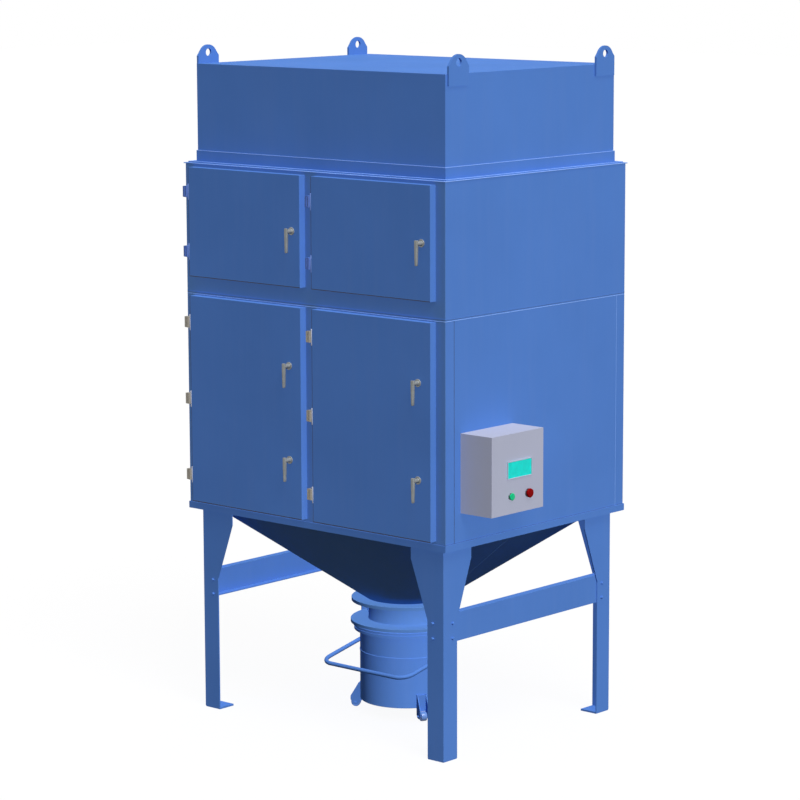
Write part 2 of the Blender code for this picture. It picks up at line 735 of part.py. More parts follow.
# Dust bin: a turned cup with a rim, a ring under it and one bead
def make_bin():
    floor_z = BIN_BOTTOM_Z + BIN_FLOOR_T
    inner = BIN_R - BIN_WALL
    rim_low = BIN_TOP_Z - BIN_RIM_T
    ring_low = rim_low - BIN_RING_T
    bead = BEAD_H / 2
    profile = [(0, floor_z), (inner, floor_z), (inner, BIN_TOP_Z), (BIN_RIM_R, BIN_TOP_Z),
               (BIN_RIM_R, rim_low), (BIN_RING_R, rim_low), (BIN_RING_R, ring_low),
               (BIN_R, ring_low), (BIN_R, BEAD_Z + bead), (BEAD_R, BEAD_Z + bead / 3),
               (BEAD_R, BEAD_Z - bead / 3), (BIN_R, BEAD_Z - bead),
               (BIN_R, BIN_BOTTOM_Z), (0, BIN_BOTTOM_Z)]
    dust_bin = add_part("dust_bin", profile_mesh("dust_bin", profile), blue)
    turn(dust_bin, ROUND)
    return dust_bin


def arc_points(corner, before, after, radius, steps):
    into = (corner - before).normalized()
    out = (after - corner).normalized()
    half_angle = into.angle(out) / 2
    reach = radius * math.tan(half_angle)
    start = corner - into * reach
    inward = (out - into).normalized()
    centre = corner + inward * (radius / math.cos(half_angle))
    axis = into.cross(out).normalized()
    spoke = start - centre
    return [centre + Matrix.Rotation(2 * half_angle * i / steps, 3, axis) @ spoke
            for i in range(steps + 1)]


# Push handle: one bent tube from side to side of the bin
def make_bin_handle(dust_bin):
    def at(x, y):
        return Vector((x, y, GRIP_Z + GRIP_SLOPE * y))
    end_x = BIN_R + SEAT
    corners = [at(-end_x, GRIP_END_Y), at(-GRIP_HALF_W, GRIP_END_Y),
               at(-GRIP_HALF_W, -GRIP_FRONT), at(GRIP_HALF_W, -GRIP_FRONT),
               at(GRIP_HALF_W, GRIP_END_Y), at(end_x, GRIP_END_Y)]
    radii = [GRIP_END_BEND_R, GRIP_BEND_R, GRIP_BEND_R, GRIP_END_BEND_R]
    route = [corners[0]]
    for i, radius in enumerate(radii, start=1):
        route += arc_points(corners[i], corners[i - 1], corners[i + 1], radius, 6)
    route.append(corners[-1])
    curve = bpy.data.curves.new("bin_handle", "CURVE")
    curve.dimensions = "3D"
    curve.bevel_depth = GRIP_R
    curve.bevel_resolution = 2
    curve.use_fill_caps = True
    spline = curve.splines.new("POLY")
    spline.points.add(len(route) - 1)
    for point, place in zip(spline.points, route):
        point.co = (*place, 1.0)
    mesh = solid_from_curve(bpy.data.objects.new("bin_handle", curve))
    add_part("bin_handle", mesh, blue, parent=dust_bin)


# Caster fork: two radial cheeks on a saddle cut to the bin's wall, and the axle
def make_caster(label, bearing, dust_bin):
    spin = math.radians(bearing)
    place = (CASTER_REACH * math.cos(spin), CASTER_REACH * math.sin(spin), 0)
    outer = WHEEL_W / 2 + CHEEK_GAP + CHEEK_T
    wall_x = BIN_R - CASTER_REACH
    inside_x = wall_x - 2 * SADDLE_T
    name = f"caster_fork_{label}"
    saddle = box_mesh(name, (inside_x, -outer + CHEEK_T / 2, SADDLE_Z),
                      (wall_x + SADDLE_T, outer - CHEEK_T / 2, FORK_TOP_Z - SADDLE_DROP))
    fork = add_part(name, saddle, blue, place, (0, 0, spin), parent=dust_bin)
    outline = [(inside_x, FORK_TOP_Z), (inside_x, CHEEK_LOW_Z), (-CHEEK_FOOT_HALF, CHEEK_FOOT_Z),
               (CHEEK_FOOT_HALF, CHEEK_FOOT_Z), (CHEEK_OUT, CHEEK_LOW_Z),
               (CHEEK_OUT, CHEEK_SHOULDER_Z), (wall_x + CHEEK_TOP_OUT, FORK_TOP_Z)]
    for hand, sign in (("left", -1), ("right", 1)):
        cheek = f"caster_cheek_{label}_{hand}"
        join(fork, add_cutter(cheek, plate_mesh(cheek, outline, CHEEK_T),
                              (0, sign * (outer - CHEEK_T / 2), 0), STAND_X, parent=fork))
    wall = plate_mesh(f"bin_wall_{label}", ring(BIN_R + SEAT, ROUND), BEAD_Z)
    cut(fork, add_cutter(f"bin_wall_{label}", wall, (0, 0, BEAD_Z / 4), parent=dust_bin))
    axle_end = outer + AXLE_END
    axle = rod_mesh(f"axle_{label}", AXLE_R, (0, -axle_end, WHEEL_R), (0, axle_end, WHEEL_R))
    join(fork, add_cutter(f"axle_{label}", axle, parent=fork))
    half = WHEEL_W / 2
    bore = AXLE_R + AXLE_CLEAR
    rim = WHEEL_R - WHEEL_TREAD_BEVEL
    profile = [(bore, -half), (bore, half), (rim, half), (WHEEL_R, half - WHEEL_TREAD_BEVEL),
               (WHEEL_R, -half + WHEEL_TREAD_BEVEL), (rim, -half)]
    name = f"caster_wheel_{label}"
    wheel = add_part(name, profile_mesh(name, profile, closed=True), rubber,
                     (place[0], place[1], WHEEL_R), (math.radians(90), 0, spin), parent=dust_bin)
    turn(wheel, HALF_ROUND)


# Control box: an open-backed shell on the right wall, with screen and buttons
def make_control_box():
    back_x = HALF_W + SEAT
    face_x = HALF_W + CONTROL_DEPTH
    near_y = CONTROL_FRONT_Y
    shell = open_box_mesh("control_box", (back_x, near_y, CONTROL_Z),
                          (face_x, near_y + CONTROL_W, CONTROL_Z + CONTROL_H), (-1, 0, 0))
    control = add_part("control_box", shell, grey)
    thicken(control, CONTROL_SHEET)
    screen_low = (face_x + SEAT, near_y + SCREEN_Y, CONTROL_Z + SCREEN_Z)
    screen_high = (face_x + SEAT + SCREEN_T, near_y + SCREEN_Y + SCREEN_W,
                   CONTROL_Z + SCREEN_Z + SCREEN_H)
    add_part("control_screen", box_mesh("control_screen", screen_low, screen_high), screen)
    button_z = CONTROL_Z + BUTTON_Z
    rows = (("start_button", START_Y, START_R, START_CAP_T, green),
            ("stop_button", STOP_Y, STOP_R, STOP_CAP_T, red))
    for name, along, radius, cap_t, material in rows:
        y = near_y + along
        hole = rod_mesh(name + "_hole", BUTTON_STEM_R + BUTTON_STEM_CLEAR,
                        (face_x - 2 * CONTROL_SHEET, y, button_z),
                        (face_x + CONTROL_SHEET, y, button_z), HALF_ROUND)
        cut(control, add_cutter(name + "_hole", hole))
        standoff = BUTTON_STANDOFF
        profile = [(0, standoff + cap_t), (radius * 0.8, standoff + cap_t),
                   (radius, standoff + cap_t * 0.7), (radius, standoff),
                   (BUTTON_STEM_R, standoff),
                   (BUTTON_STEM_R, -BUTTON_STEM_IN), (0, -BUTTON_STEM_IN)]
        button = add_part(name, profile_mesh(name, profile), material,
                          (face_x, y, button_z), (0, math.radians(90), 0))
        turn(button, HALF_ROUND)


for old in list(bpy.data.objects):
    bpy.data.objects.remove(old, do_unlink=True)

parts = new_collection("cartridge_dust_collector")
cutters = new_collection("cutters")
machine = bpy.data.objects.new("machine_centre", None)
parts.objects.link(machine)
machine.location = (MACHINE_X, MACHINE_Y, 0)

blue = paint("blue_paint", (0.075, 0.180, 0.510), 0.45)
dark_blue = paint("hopper_blue_paint", (0.060, 0.140, 0.400), 0.50)
steel = paint("handle_steel", (0.420, 0.380, 0.300), 0.35, 1.0)
media = paint("filter_media", (0.620, 0.620, 0.580), 0.80)
rubber = paint("wheel_rubber", (0.060, 0.110, 0.300), 0.70)
grey = paint("control_box_grey", (0.400, 0.410, 0.560), 0.50)
screen = paint("screen_cyan", (0.020, 0.660, 0.580), 0.20)
green = paint("start_green", (0.012, 0.578, 0.262), 0.35)
red = paint("stop_red", (0.515, 0.004, 0.004), 0.35)

make_base_frame()
for fore, sy in (("front", -1), ("back", 1)):
    for side, sx in (("left", -1), ("right", 1)):
        make_leg(f"leg_{fore}_{side}", sx, sy)
        make_lug(f"lifting_lug_{fore}_{side}", sx, sy)
make_brace("brace_left", -1)
make_brace("brace_right", 1)

lower_low = BASE_Z + BASE_FLANGE_T + SEAT
lower_high = TUBE_SHEET_Z - SEAT
upper_low = UPPER_Z + SEAT
upper_high = ROOF_Z - SEAT
make_walls("lower", lower_low, lower_high)
make_walls("upper", upper_low, upper_high)
make_cartridges()
make_roof()
make_fan_box()

upper_door = (UPPER_Z + UPPER_DOOR_RISE, FAN_BOX_Z - UPPER_DOOR_DROP)
lower_door = (BASE_Z + BASE_H + LOWER_DOOR_RISE, TUBE_SHEET_Z - LOWER_DOOR_DROP)
upper_hinges = (upper_door[0] + UPPER_HINGE_INSET, upper_door[1] - UPPER_HINGE_INSET)
lower_hinges = (lower_door[0] + LOWER_HINGE_INSET, sum(lower_door) / 2,
                lower_door[1] - LOWER_HINGE_INSET)
make_front_frame("upper", upper_low, upper_high, *upper_door, upper_hinges)
make_front_frame("lower", lower_low, lower_high, *lower_door, lower_hinges)
for side in ("left", "right"):
    door = make_door("upper", side, *upper_door, upper_hinges)
    make_handle(f"upper_{side}_handle", side, HANDLE_EDGE_UPPER, sum(upper_door) / 2, door)
    door = make_door("lower", side, *lower_door, lower_hinges)
    make_handle(f"lower_{side}_handle_top", side, HANDLE_EDGE_LOWER,
                lower_door[1] - HANDLE_INSET_LOWER, door)
    make_handle(f"lower_{side}_handle_bottom", side, HANDLE_EDGE_LOWER,
                lower_door[0] + HANDLE_INSET_LOWER, door)

make_hopper()
make_outlet()
dust_bin = make_bin()
make_bin_handle(dust_bin)
for label, bearing in CASTERS:
    make_caster(label, bearing, dust_bin)
make_control_box()
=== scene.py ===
# Looks of the cartridge dust collector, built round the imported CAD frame.
# Lengths are in metres.

import math

import bmesh
import bpy
from mathutils import Matrix, Vector


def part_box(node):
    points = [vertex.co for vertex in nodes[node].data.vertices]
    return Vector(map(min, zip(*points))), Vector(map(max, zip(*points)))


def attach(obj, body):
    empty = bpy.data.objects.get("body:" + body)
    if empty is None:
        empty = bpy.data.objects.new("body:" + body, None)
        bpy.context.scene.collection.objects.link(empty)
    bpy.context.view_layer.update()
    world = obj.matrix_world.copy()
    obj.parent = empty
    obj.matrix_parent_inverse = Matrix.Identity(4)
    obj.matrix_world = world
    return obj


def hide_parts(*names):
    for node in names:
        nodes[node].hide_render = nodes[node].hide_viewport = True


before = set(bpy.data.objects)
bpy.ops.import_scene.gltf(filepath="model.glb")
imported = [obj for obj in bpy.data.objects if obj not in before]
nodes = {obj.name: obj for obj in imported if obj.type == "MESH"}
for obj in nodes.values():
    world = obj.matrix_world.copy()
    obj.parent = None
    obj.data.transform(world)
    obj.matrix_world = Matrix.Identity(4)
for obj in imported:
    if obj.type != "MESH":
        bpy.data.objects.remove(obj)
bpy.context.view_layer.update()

# The machine's own centre, on the floor under the cabinet
centre = (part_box("filter_cartridges")[0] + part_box("filter_cartridges")[1]) / 2
CX = centre.x
CY = centre.y
CORNERS = {"front_left": (-1, -1), "front_right": (1, -1),
           "back_left": (-1, 1), "back_right": (1, 1)}
QUARTERS = ((1, 1), (-1, 1), (-1, -1), (1, -1))   # in order round a rectangle
DOORS = [(storey, side) for storey in ("upper", "lower") for side in ("left", "right")]

# Sizes repeated from the CAD, from the machine's centre
SEAT = 0.0003             # between pieces that touch
HALF_W = 0.890
HALF_D = 0.715
BASE_Z = 1.085
UPPER_H = 0.664
FAN_BOX_INSET_X = 0.041
FAN_BOX_INSET_Y = 0.050
DOOR_T = 0.042
DOOR_FACE_Y = -HALF_D - SEAT - DOOR_T
DOOR_W = 0.790
DOOR_LEFT = {"left": -0.830, "right": 0.040}
DOOR_Z = {"upper": (2.327, 2.895), "lower": (1.135, 2.224)}
HINGE_Z = {"upper": (2.455, 2.767), "lower": (1.275, 1.6795, 2.084)}
HINGE_GAP = 0.018         # axis to the door's edge
HINGE_BACK = 0.006        # axis behind the door's face
HINGE_H = 0.058
LEVER_DOWN = 0.108        # lever's tip below the spindle
LEG_X = 0.840
LEG_Y = 0.6725
LEG_T = 0.006
BRACE_T = 0.005
TUBE_SHEET_Z = 2.240
TUBE_SHEET_T = 0.006
CARTRIDGE_R = 0.1625
CARTRIDGE_BORE = 0.100
CARTRIDGE_L = 1.000
CARTRIDGE_COLUMNS = 4
CARTRIDGE_ROWS = 2
CARTRIDGE_SPAN_X = 1.305  # first column to the last
CARTRIDGE_SPAN_Y = 0.620
HOPPER_HALF_W = 0.780
HOPPER_HALF_D = 0.620
HOPPER_LIP = 0.022
HOPPER_INSET = 0.006      # level thickness of the sloping sheet
HOPPER_EDGE_T = 0.004
HOPPER_ROUND_R = 0.213
OUTLET_Z = 0.616
OUTLET_R = 0.290
OUTLET_T = 0.018
NECK_R = 0.200
NECK_T = 0.006
LID_R = 0.295
LID_T = 0.017
LID_Z = 0.499
BIN_LID_GAP = 0.0055
BIN_R = 0.246
BIN_WALL = 0.004
BIN_TOP_Z = LID_Z - LID_T - BIN_LID_GAP
BIN_BOTTOM_Z = 0.063
BIN_FLOOR_T = 0.005
BIN_RIM_R = 0.284
BIN_RIM_T = 0.006
BIN_RING_T = 0.026
GRIP_R = 0.011
GRIP_HALF_W = 0.296
GRIP_FRONT = 0.351
GRIP_Z = 0.3485           # height beside the bin's middle
GRIP_SLOPE = 0.209        # rise for each metre back
GRIP_BEND_R = 0.073
GRIP_END_BEND_R = 0.022
CASTERS = {"front_left": 210, "front_right": 330, "back": 90}
CASTER_REACH = 0.2745     # axle from the bin's middle
WHEEL_R = 0.025
CONTROL_DEPTH = 0.200
CONTROL_Y = -0.600
CONTROL_Z = 1.267
BUTTON_Z = 0.088
BUTTON_STEM_R = 0.009
BUTTON_STEM_IN = 0.010
BUTTON_STANDOFF = 0.009

# Segments round a turned shape, from screws to wheels
TINY_ROUND = 24
SMALL_ROUND = 32
MIDDLE_ROUND = 48
WIDE_ROUND = 64


def at(x, y, z):
    return Vector((x + CX, y + CY, z))


# Mesh building

def put_box(bm, low, high, bevel=0.0):
    size = high - low
    placing = Matrix.Translation((low + high) / 2) @ Matrix.Diagonal((*size, 1.0))
    made = bmesh.ops.create_cube(bm, size=1.0, matrix=placing)["verts"]
    if bevel:
        edges = list(dict.fromkeys(edge for vert in made for edge in vert.link_edges))
        bmesh.ops.bevel(bm, geom=edges, offset=bevel, segments=2, profile=0.5,
                        affect="EDGES")


def strip(bm, first, second):
    count = len(first)
    for i in range(count):
        following = (i + 1) % count
        bm.faces.new((first[i], first[following], second[following], second[i]))


# Rings of points joined into a closed loop, the last one to the first
def put_hoop(bm, sections):
    rings = [[bm.verts.new(point) for point in section] for section in sections]
    for first, second in zip(rings, rings[1:] + rings[:1]):
        strip(bm, first, second)


# Rings of points joined one after the other, with a face over each end
def put_loft(bm, sections):
    rings = [[bm.verts.new(point) for point in section] for section in sections]
    for first, second in zip(rings, rings[1:]):
        strip(bm, first, second)
    bm.faces.new(rings[0])
    bm.faces.new(rings[-1])


def facing(place, out):
    return Matrix.Translation(place) @ Vector(out).to_track_quat("Z", "Y").to_matrix().to_4x4()


def put_turned(bm, profile, segments, matrix, closed=False):
    rings = []
    for radius, z in profile:
        if radius == 0:
            rings.append([bm.verts.new(matrix @ Vector((0, 0, z)))])
            continue
        rings.append([bm.verts.new(matrix @ Vector((u, v, z))) for u, v in ring(radius, segments)])
    pairs = list(zip(rings, rings[1:]))
    if closed:
        pairs.append((rings[-1], rings[0]))
    for first, second in pairs:
        for k in range(segments):
            j = (k + 1) % segments
            if len(first) == 1:
                bm.faces.new((first[0], second[j], second[k]))
            elif len(second) == 1:
                bm.faces.new((first[k], first[j], second[0]))
            else:
                bm.faces.new((first[k], first[j], second[j], second[k]))


def ring(radius, segments, centre_uv=(0.0, 0.0)):
    return [(centre_uv[0] + radius * math.cos(2 * math.pi * i / segments),
             centre_uv[1] + radius * math.sin(2 * math.pi * i / segments))
            for i in range(segments)]


def rectangle(low, high, inset=0.0):
    return [(low[0] + inset, low[1] + inset), (high[0] - inset, low[1] + inset),
            (high[0] - inset, high[1] - inset), (low[0] + inset, high[1] - inset)]


def raised(profile, height):
    return [(radius, height + z) for radius, z in profile]


def put_tube(bm, route, radius, sides):
    ways = []
    for i in range(len(route)):
        ways.append((route[min(i + 1, len(route) - 1)] - route[max(i - 1, 0)]).normalized())
    side = ways[0].orthogonal().normalized()
    sections = []
    for i, (point, way) in enumerate(zip(route, ways)):
        if i:
            side = (side - way * side.dot(way)).normalized()
        other = way.cross(side)
        sections.append([point + radius * (math.cos(2 * math.pi * k / sides) * side
                                           + math.sin(2 * math.pi * k / sides) * other)
                         for k in range(sides)])
    put_loft(bm, sections)


def arc_points(corner, before, after, radius, steps):
    into = (corner - before).normalized()
    out = (after - corner).normalized()
    half_angle = into.angle(out) / 2
    start = corner - into * radius * math.tan(half_angle)
    inward = (out - into).normalized()
    hub = corner + inward * (radius / math.cos(half_angle))
    axis = into.cross(out).normalized()
    spoke = start - hub
    return [hub + Matrix.Rotation(2 * half_angle * i / steps, 3, axis) @ spoke
            for i in range(steps + 1)]


CORNER_STEPS = 4


def rounded_rectangle(half_u, half_v, radius):
    points = []
    for quarter, (su, sv) in enumerate(QUARTERS):
        for i in range(CORNER_STEPS + 1):
            a = math.radians(90 * quarter + 90 * i / CORNER_STEPS)
            points.append((su * (half_u - radius) + radius * math.cos(a),
                           sv * (half_v - radius) + radius * math.sin(a)))
    return points


# Width across the flats, height, and radius of the washer
LEG_BOLT = (0.0130, 0.0085, 0.0085)
LEG_NUT = (0.0165, 0.008, 0.0115)
AXLE_NUT = (0.010, 0.0045, 0.007)
WASHER_T = 0.0016
WASHER_EASE = 0.0005
HEX = 6


def put_bolt(bm, place, out, size):
    across, height, washer_r = size
    matrix = facing(place, out)
    put_turned(bm, [(0, 0), (washer_r, 0), (washer_r, WASHER_T * 0.7),
                    (washer_r - WASHER_EASE, WASHER_T), (0, WASHER_T)], TINY_ROUND, matrix)
    corner = across / 2 / math.cos(math.pi / HEX)
    sections = ((corner, WASHER_T * 0.9), (corner, WASHER_T + height * 0.82),
                (corner * 0.86, WASHER_T + height))
    put_loft(bm, [[matrix @ Vector((u, v, z)) for u, v in ring(radius, HEX)]
                  for radius, z in sections])


MERGE_DISTANCE = 0.00001


def plate_with_holes(bm, outline, holes, low, high):
    curve = bpy.data.curves.new("plate", "CURVE")
    curve.dimensions = "2D"
    curve.fill_mode = "BOTH"
    curve.extrude = (high - low) / 2
    for loop in (outline, *holes):
        spline = curve.splines.new("POLY")
        spline.points.add(len(loop) - 1)
        for point, (u, v) in zip(spline.points, loop):
            point.co = (u, v, 0.0, 1.0)
        spline.use_cyclic_u = True
    guide = bpy.data.objects.new("plate", curve)
    bpy.context.scene.collection.objects.link(guide)
    depsgraph = bpy.context.evaluated_depsgraph_get()
    mesh = bpy.data.meshes.new_from_object(guide.evaluated_get(depsgraph))
    bpy.data.objects.remove(guide)
    bpy.data.curves.remove(curve)
    mesh.transform(Matrix.Translation((0, 0, (low + high) / 2)))
    bm.from_mesh(mesh)
    bpy.data.meshes.remove(mesh)
    bmesh.ops.remove_doubles(bm, verts=bm.verts, dist=MERGE_DISTANCE)


def piece(name, bm, material, body, sharp=35.0, replaces=()):
    bmesh.ops.recalc_face_normals(bm, faces=bm.faces)
    for face in bm.faces:
        face.smooth = True
    mesh = bpy.data.meshes.new(name)
    bm.to_mesh(mesh)
    bm.free()
    mesh.set_sharp_from_angle(angle=math.radians(sharp))
    mesh.materials.append(material)
    made = bpy.data.objects.new(name, mesh)
    bpy.context.scene.collection.objects.link(made)
    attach(made, body)
    if replaces:
        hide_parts(*replaces)


# Node trees

class Look:
    def __init__(self, name):
        self.material = bpy.data.materials.new(name)
        self.material.use_nodes = True
        self.tree = self.material.node_tree
        self.shader = self.tree.nodes["Principled BSDF"]
        self.place = self.add("ShaderNodeTexCoord").outputs["Object"]

    def add(self, kind):
        return self.tree.nodes.new(kind)

    def link(self, source, target):
        self.tree.links.new(source, target)

    def feed(self, name, source):
        self.link(source, self.shader.inputs[name])

    def stretched(self, scale):
        node = self.add("ShaderNodeMapping")
        node.inputs["Scale"].default_value = scale
        self.link(self.place, node.inputs["Vector"])
        return node.outputs["Vector"]


def add_noise(n, vector, scale, detail, rough=0.5):
    noise = n.add("ShaderNodeTexNoise")
    noise.inputs["Scale"].default_value = scale
    noise.inputs["Detail"].default_value = detail
    noise.inputs["Roughness"].default_value = rough
    n.link(vector, noise.inputs["Vector"])
    return noise.outputs["Fac"]


def add_range(n, value, low, high, to_low=0.0, to_high=1.0):
    node = n.add("ShaderNodeMapRange")
    n.link(value, node.inputs["Value"])
    for name, number in (("From Min", low), ("From Max", high),
                         ("To Min", to_low), ("To Max", to_high)):
        node.inputs[name].default_value = number
    return node.outputs["Result"]


def add_mix(n, factor, a, b):
    node = n.add("ShaderNodeMix")
    node.data_type = "RGBA"
    n.link(factor, node.inputs["Factor"])
    for socket, value in ((node.inputs[6], a), (node.inputs[7], b)):
        if isinstance(value, tuple):
            socket.default_value = (*value, 1.0)
        else:
            n.link(value, socket)
    return node.outputs[2]


def add_bump(n, height, strength, distance, before=None):
    bump = n.add("ShaderNodeBump")
    bump.inputs["Strength"].default_value = strength
    bump.inputs["Distance"].default_value = distance
    n.link(height, bump.inputs["Height"])
    if before is not None:
        n.link(before, bump.inputs["Normal"])
    return bump.outputs["Normal"]


def shade(color, factor):
    return tuple(c * factor for c in color)


# A colour that a noise moves between a darker and a lighter shade
def mottled(n, noise, color, dark, light, high=0.7):
    return add_mix(n, add_range(n, noise, 0.3, high), shade(color, dark), shade(color, light))


DUST_STRETCH = (9.0, 9.0, 0.7)
DUST_SHARE = 0.4
MASK_HALF = 0.0001


# Powder coat: fine orange peel, slow colour drift, faint dust that runs down.
# beyond names an axis and a place on it: below that place the surface has the finish,
# and is as metallic as the last value says.
def coated(name, color, rough=0.55, peel=0.06, drift=0.04, specular=0.002,
           beyond=None, finish=None, metallic=0.0):
    n = Look(name)
    slow = add_noise(n, n.place, scale=1.7, detail=4.0)
    runs = add_noise(n, n.stretched(DUST_STRETCH), scale=2.0, detail=5.0, rough=0.6)
    drifted = mottled(n, slow, color, 1.0 - drift, 1.0 + drift)
    grey = sum(color) / 3
    dusty = tuple(c * 0.95 + grey * 0.08 for c in color)
    mixed = add_mix(n, add_range(n, runs, 0.45, 0.8, to_high=DUST_SHARE), drifted, dusty)
    roughness = add_range(n, runs, 0.3, 0.7, rough - 0.05, rough + 0.07)
    if beyond:
        axis, limit = beyond
        split = n.add("ShaderNodeSeparateXYZ")
        n.link(n.place, split.inputs[0])
        mask = add_range(n, split.outputs[axis], limit - MASK_HALF, limit + MASK_HALF, 1.0, 0.0)
        fine = add_noise(n, n.place, scale=160.0, detail=3.0)
        mixed = add_mix(n, mask, mixed, mottled(n, fine, finish, 0.8, 1.15))
        if metallic:
            n.feed("Metallic", add_range(n, mask, 0.0, 1.0, to_high=metallic))
    n.feed("Base Color", mixed)
    n.feed("Roughness", roughness)
    n.shader.inputs["Specular IOR Level"].default_value = specular
    peel_noise = add_noise(n, n.place, scale=420.0, detail=2.0)
    wave = add_noise(n, n.place, scale=5.0, detail=2.0)
    flat = add_bump(n, wave, strength=0.10, distance=0.01)
    n.feed("Normal", add_bump(n, peel_noise, peel, distance=0.001, before=flat))
    return n.material


SCRATCH_STRETCH = (2.0, 2.0, 60.0)


# Bare steel with fine scratches
def metal(name, color, rough, metallic=1.0):
    n = Look(name)
    fine = add_noise(n, n.stretched(SCRATCH_STRETCH), scale=14.0, detail=4.0, rough=0.7)
    patch = add_noise(n, n.place, scale=30.0, detail=3.0)
    n.feed("Base Color", mottled(n, patch, color, 0.85, 1.1, high=0.75))
    n.shader.inputs["Metallic"].default_value = metallic
    n.feed("Roughness", add_range(n, fine, 0.3, 0.7, rough - 0.08, rough + 0.12))
    n.feed("Normal", add_bump(n, fine, strength=0.12, distance=0.0006))
    return n.material


# Moulded plastic, rubber or filter medium with a light grain
def moulded(name, color, rough, grain=0.08, grain_scale=900.0, specular=0.5):
    n = Look(name)
    slow = add_noise(n, n.place, scale=40.0, detail=3.0)
    n.feed("Base Color", mottled(n, slow, color, 0.92, 1.06))
    n.feed("Roughness", add_range(n, slow, 0.3, 0.7, rough - 0.05, rough + 0.08))
    n.shader.inputs["Specular IOR Level"].default_value = specular
    fine = add_noise(n, n.place, grain_scale, detail=2.0)
    n.feed("Normal", add_bump(n, fine, grain, distance=0.0005))
    return n.material


def srgb(r, g, b):
    def lin(c):
        c = c / 255
        return c / 12.92 if c <= 0.04045 else ((c + 0.055) / 1.055) ** 2.4
    return (lin(r), lin(g), lin(b))


BLUE = srgb(81, 124, 197)
# A less blue copy of the door paint for the frames: painted light that takes out the blue light
# bouncing between the doors' edges and the frame
FRAME_BOUNCE_OFFSET_BLUE = srgb(84, 124, 185)
HINGE_STEEL = srgb(152, 147, 138)
HINGE_SHADED_BLUE = srgb(86, 114, 182)
PLASTIC_SPECULAR = 0.06
# A lighter copy of the blue paint for the thin beads along the housing's edges: a painted
# highlight
highlight_paint = coated("highlight_paint", srgb(140, 176, 236), rough=0.45)
paint_blue = coated("paint_blue", BLUE)
# A lighter copy of the blue paint for the bin and the caster axle nuts: painted light where the
# cabinet above shades them
bin_lit_paint = coated("bin_lit_paint", shade(BLUE, 1.15))
# A lighter, less blue copy of the blue paint for the outlet ring, neck and lid: painted light on
# their shaded tops, and an offset for blue light bouncing onto the neck
outlet_lit_paint = coated("outlet_lit_paint", srgb(87, 130, 193))
# A lighter, less blue copy of the blue paint for the hopper and its weld beads: painted light in
# the shade under the cabinet
hopper_lit_paint = coated("hopper_lit_paint", srgb(89, 124, 169), specular=0.0)
paint_grey = coated("paint_grey", srgb(170, 174, 194), rough=0.5, peel=0.12, drift=0.02)

# The hinges' colour and how metallic it is; a node's hinge halves lie beyond its own face. The
# upper hinges' blue is a darker copy of the door paint, painted shade on their round barrels
HINGE_FINISH = {"lower": (HINGE_STEEL, 0.45), "upper": (HINGE_SHADED_BLUE, 0.0)}
FRAME_SPLIT_Y = CY - HALF_D - 0.0005
DOOR_SPLIT_IN = 0.0002
paint_frames = {}
paint_doors = {}
for storey, (finish, metallic) in HINGE_FINISH.items():
    paint_frames[storey] = coated(f"paint_{storey}_frame", FRAME_BOUNCE_OFFSET_BLUE,
                                  beyond=(1, FRAME_SPLIT_Y), finish=finish, metallic=metallic)
    for side in ("left", "right"):
        split_x = CX + DOOR_LEFT[side] - DOOR_SPLIT_IN
        paint_doors[storey, side] = coated(f"paint_{storey}_{side}_door", BLUE,
                                           beyond=(0, split_x), finish=finish, metallic=metallic)
# Lighter copies of the hinges' colours for the leaf edges: a painted highlight along them
leaf_highlight_paint = {"lower": coated("lower_leaf_highlight", srgb(196, 200, 214), rough=0.45),
              "upper": coated("upper_leaf_highlight", srgb(120, 148, 214), rough=0.45)}
steel_handle = metal("steel_handle", srgb(142, 145, 143), rough=0.35, metallic=0.2)
steel_dark = metal("steel_dark", srgb(96, 98, 108), rough=0.45)
steel_zinc = metal("steel_zinc", srgb(190, 190, 186), rough=0.35)
tyre_blue = moulded("tyre_blue", srgb(96, 132, 196), rough=0.35)
button_green = moulded("button_green", srgb(24, 190, 130), rough=0.3,
                       specular=PLASTIC_SPECULAR)
button_red = moulded("button_red", srgb(126, 0, 2), rough=0.5, specular=PLASTIC_SPECULAR)
screen_glass = moulded("screen_glass", srgb(26, 217, 206), rough=0.15, grain=0.0,
                       specular=PLASTIC_SPECULAR)
# Black rubber for the door gaskets, also used for dark strips that are painted shade lines
black_rubber_and_shade = moulded("black_rubber_and_shade", srgb(30, 30, 32), rough=0.7)
media_white = moulded("media_white", srgb(205, 204, 196), rough=0.9, grain=0.5,
                      grain_scale=500.0)


def dress(name, material):
    node = nodes[name]
    node.data.materials.clear()
    node.data.materials.append(material)


for node_name in nodes:
    dress(node_name, paint_blue)
dress("hopper", hopper_lit_paint)
dress("control_box", paint_grey)
dress("control_screen", screen_glass)
for storey, paint in paint_frames.items():
    dress(f"{storey}_front_frame", paint)
for (storey, side), paint in paint_doors.items():
    dress(f"{storey}_{side}_door", paint)


# Door handles: flat rose, thick spindle and a rounded tapering lever

# Radius, and distance out from the door
ROSE = [(0, 0), (0.0200, 0), (0.0200, 0.0030), (0.0192, 0.0040), (0.0150, 0.0042),
        (0.0146, 0.0036), (0, 0.0036)]
SPINDLE = [(0, 0.003), (0.0128, 0.003), (0.0128, 0.0050), (0.0120, 0.0060),
           (0.0116, 0.0300), (0.0110, 0.0385), (0, 0.0385)]
LEVER_OUT = 0.0385

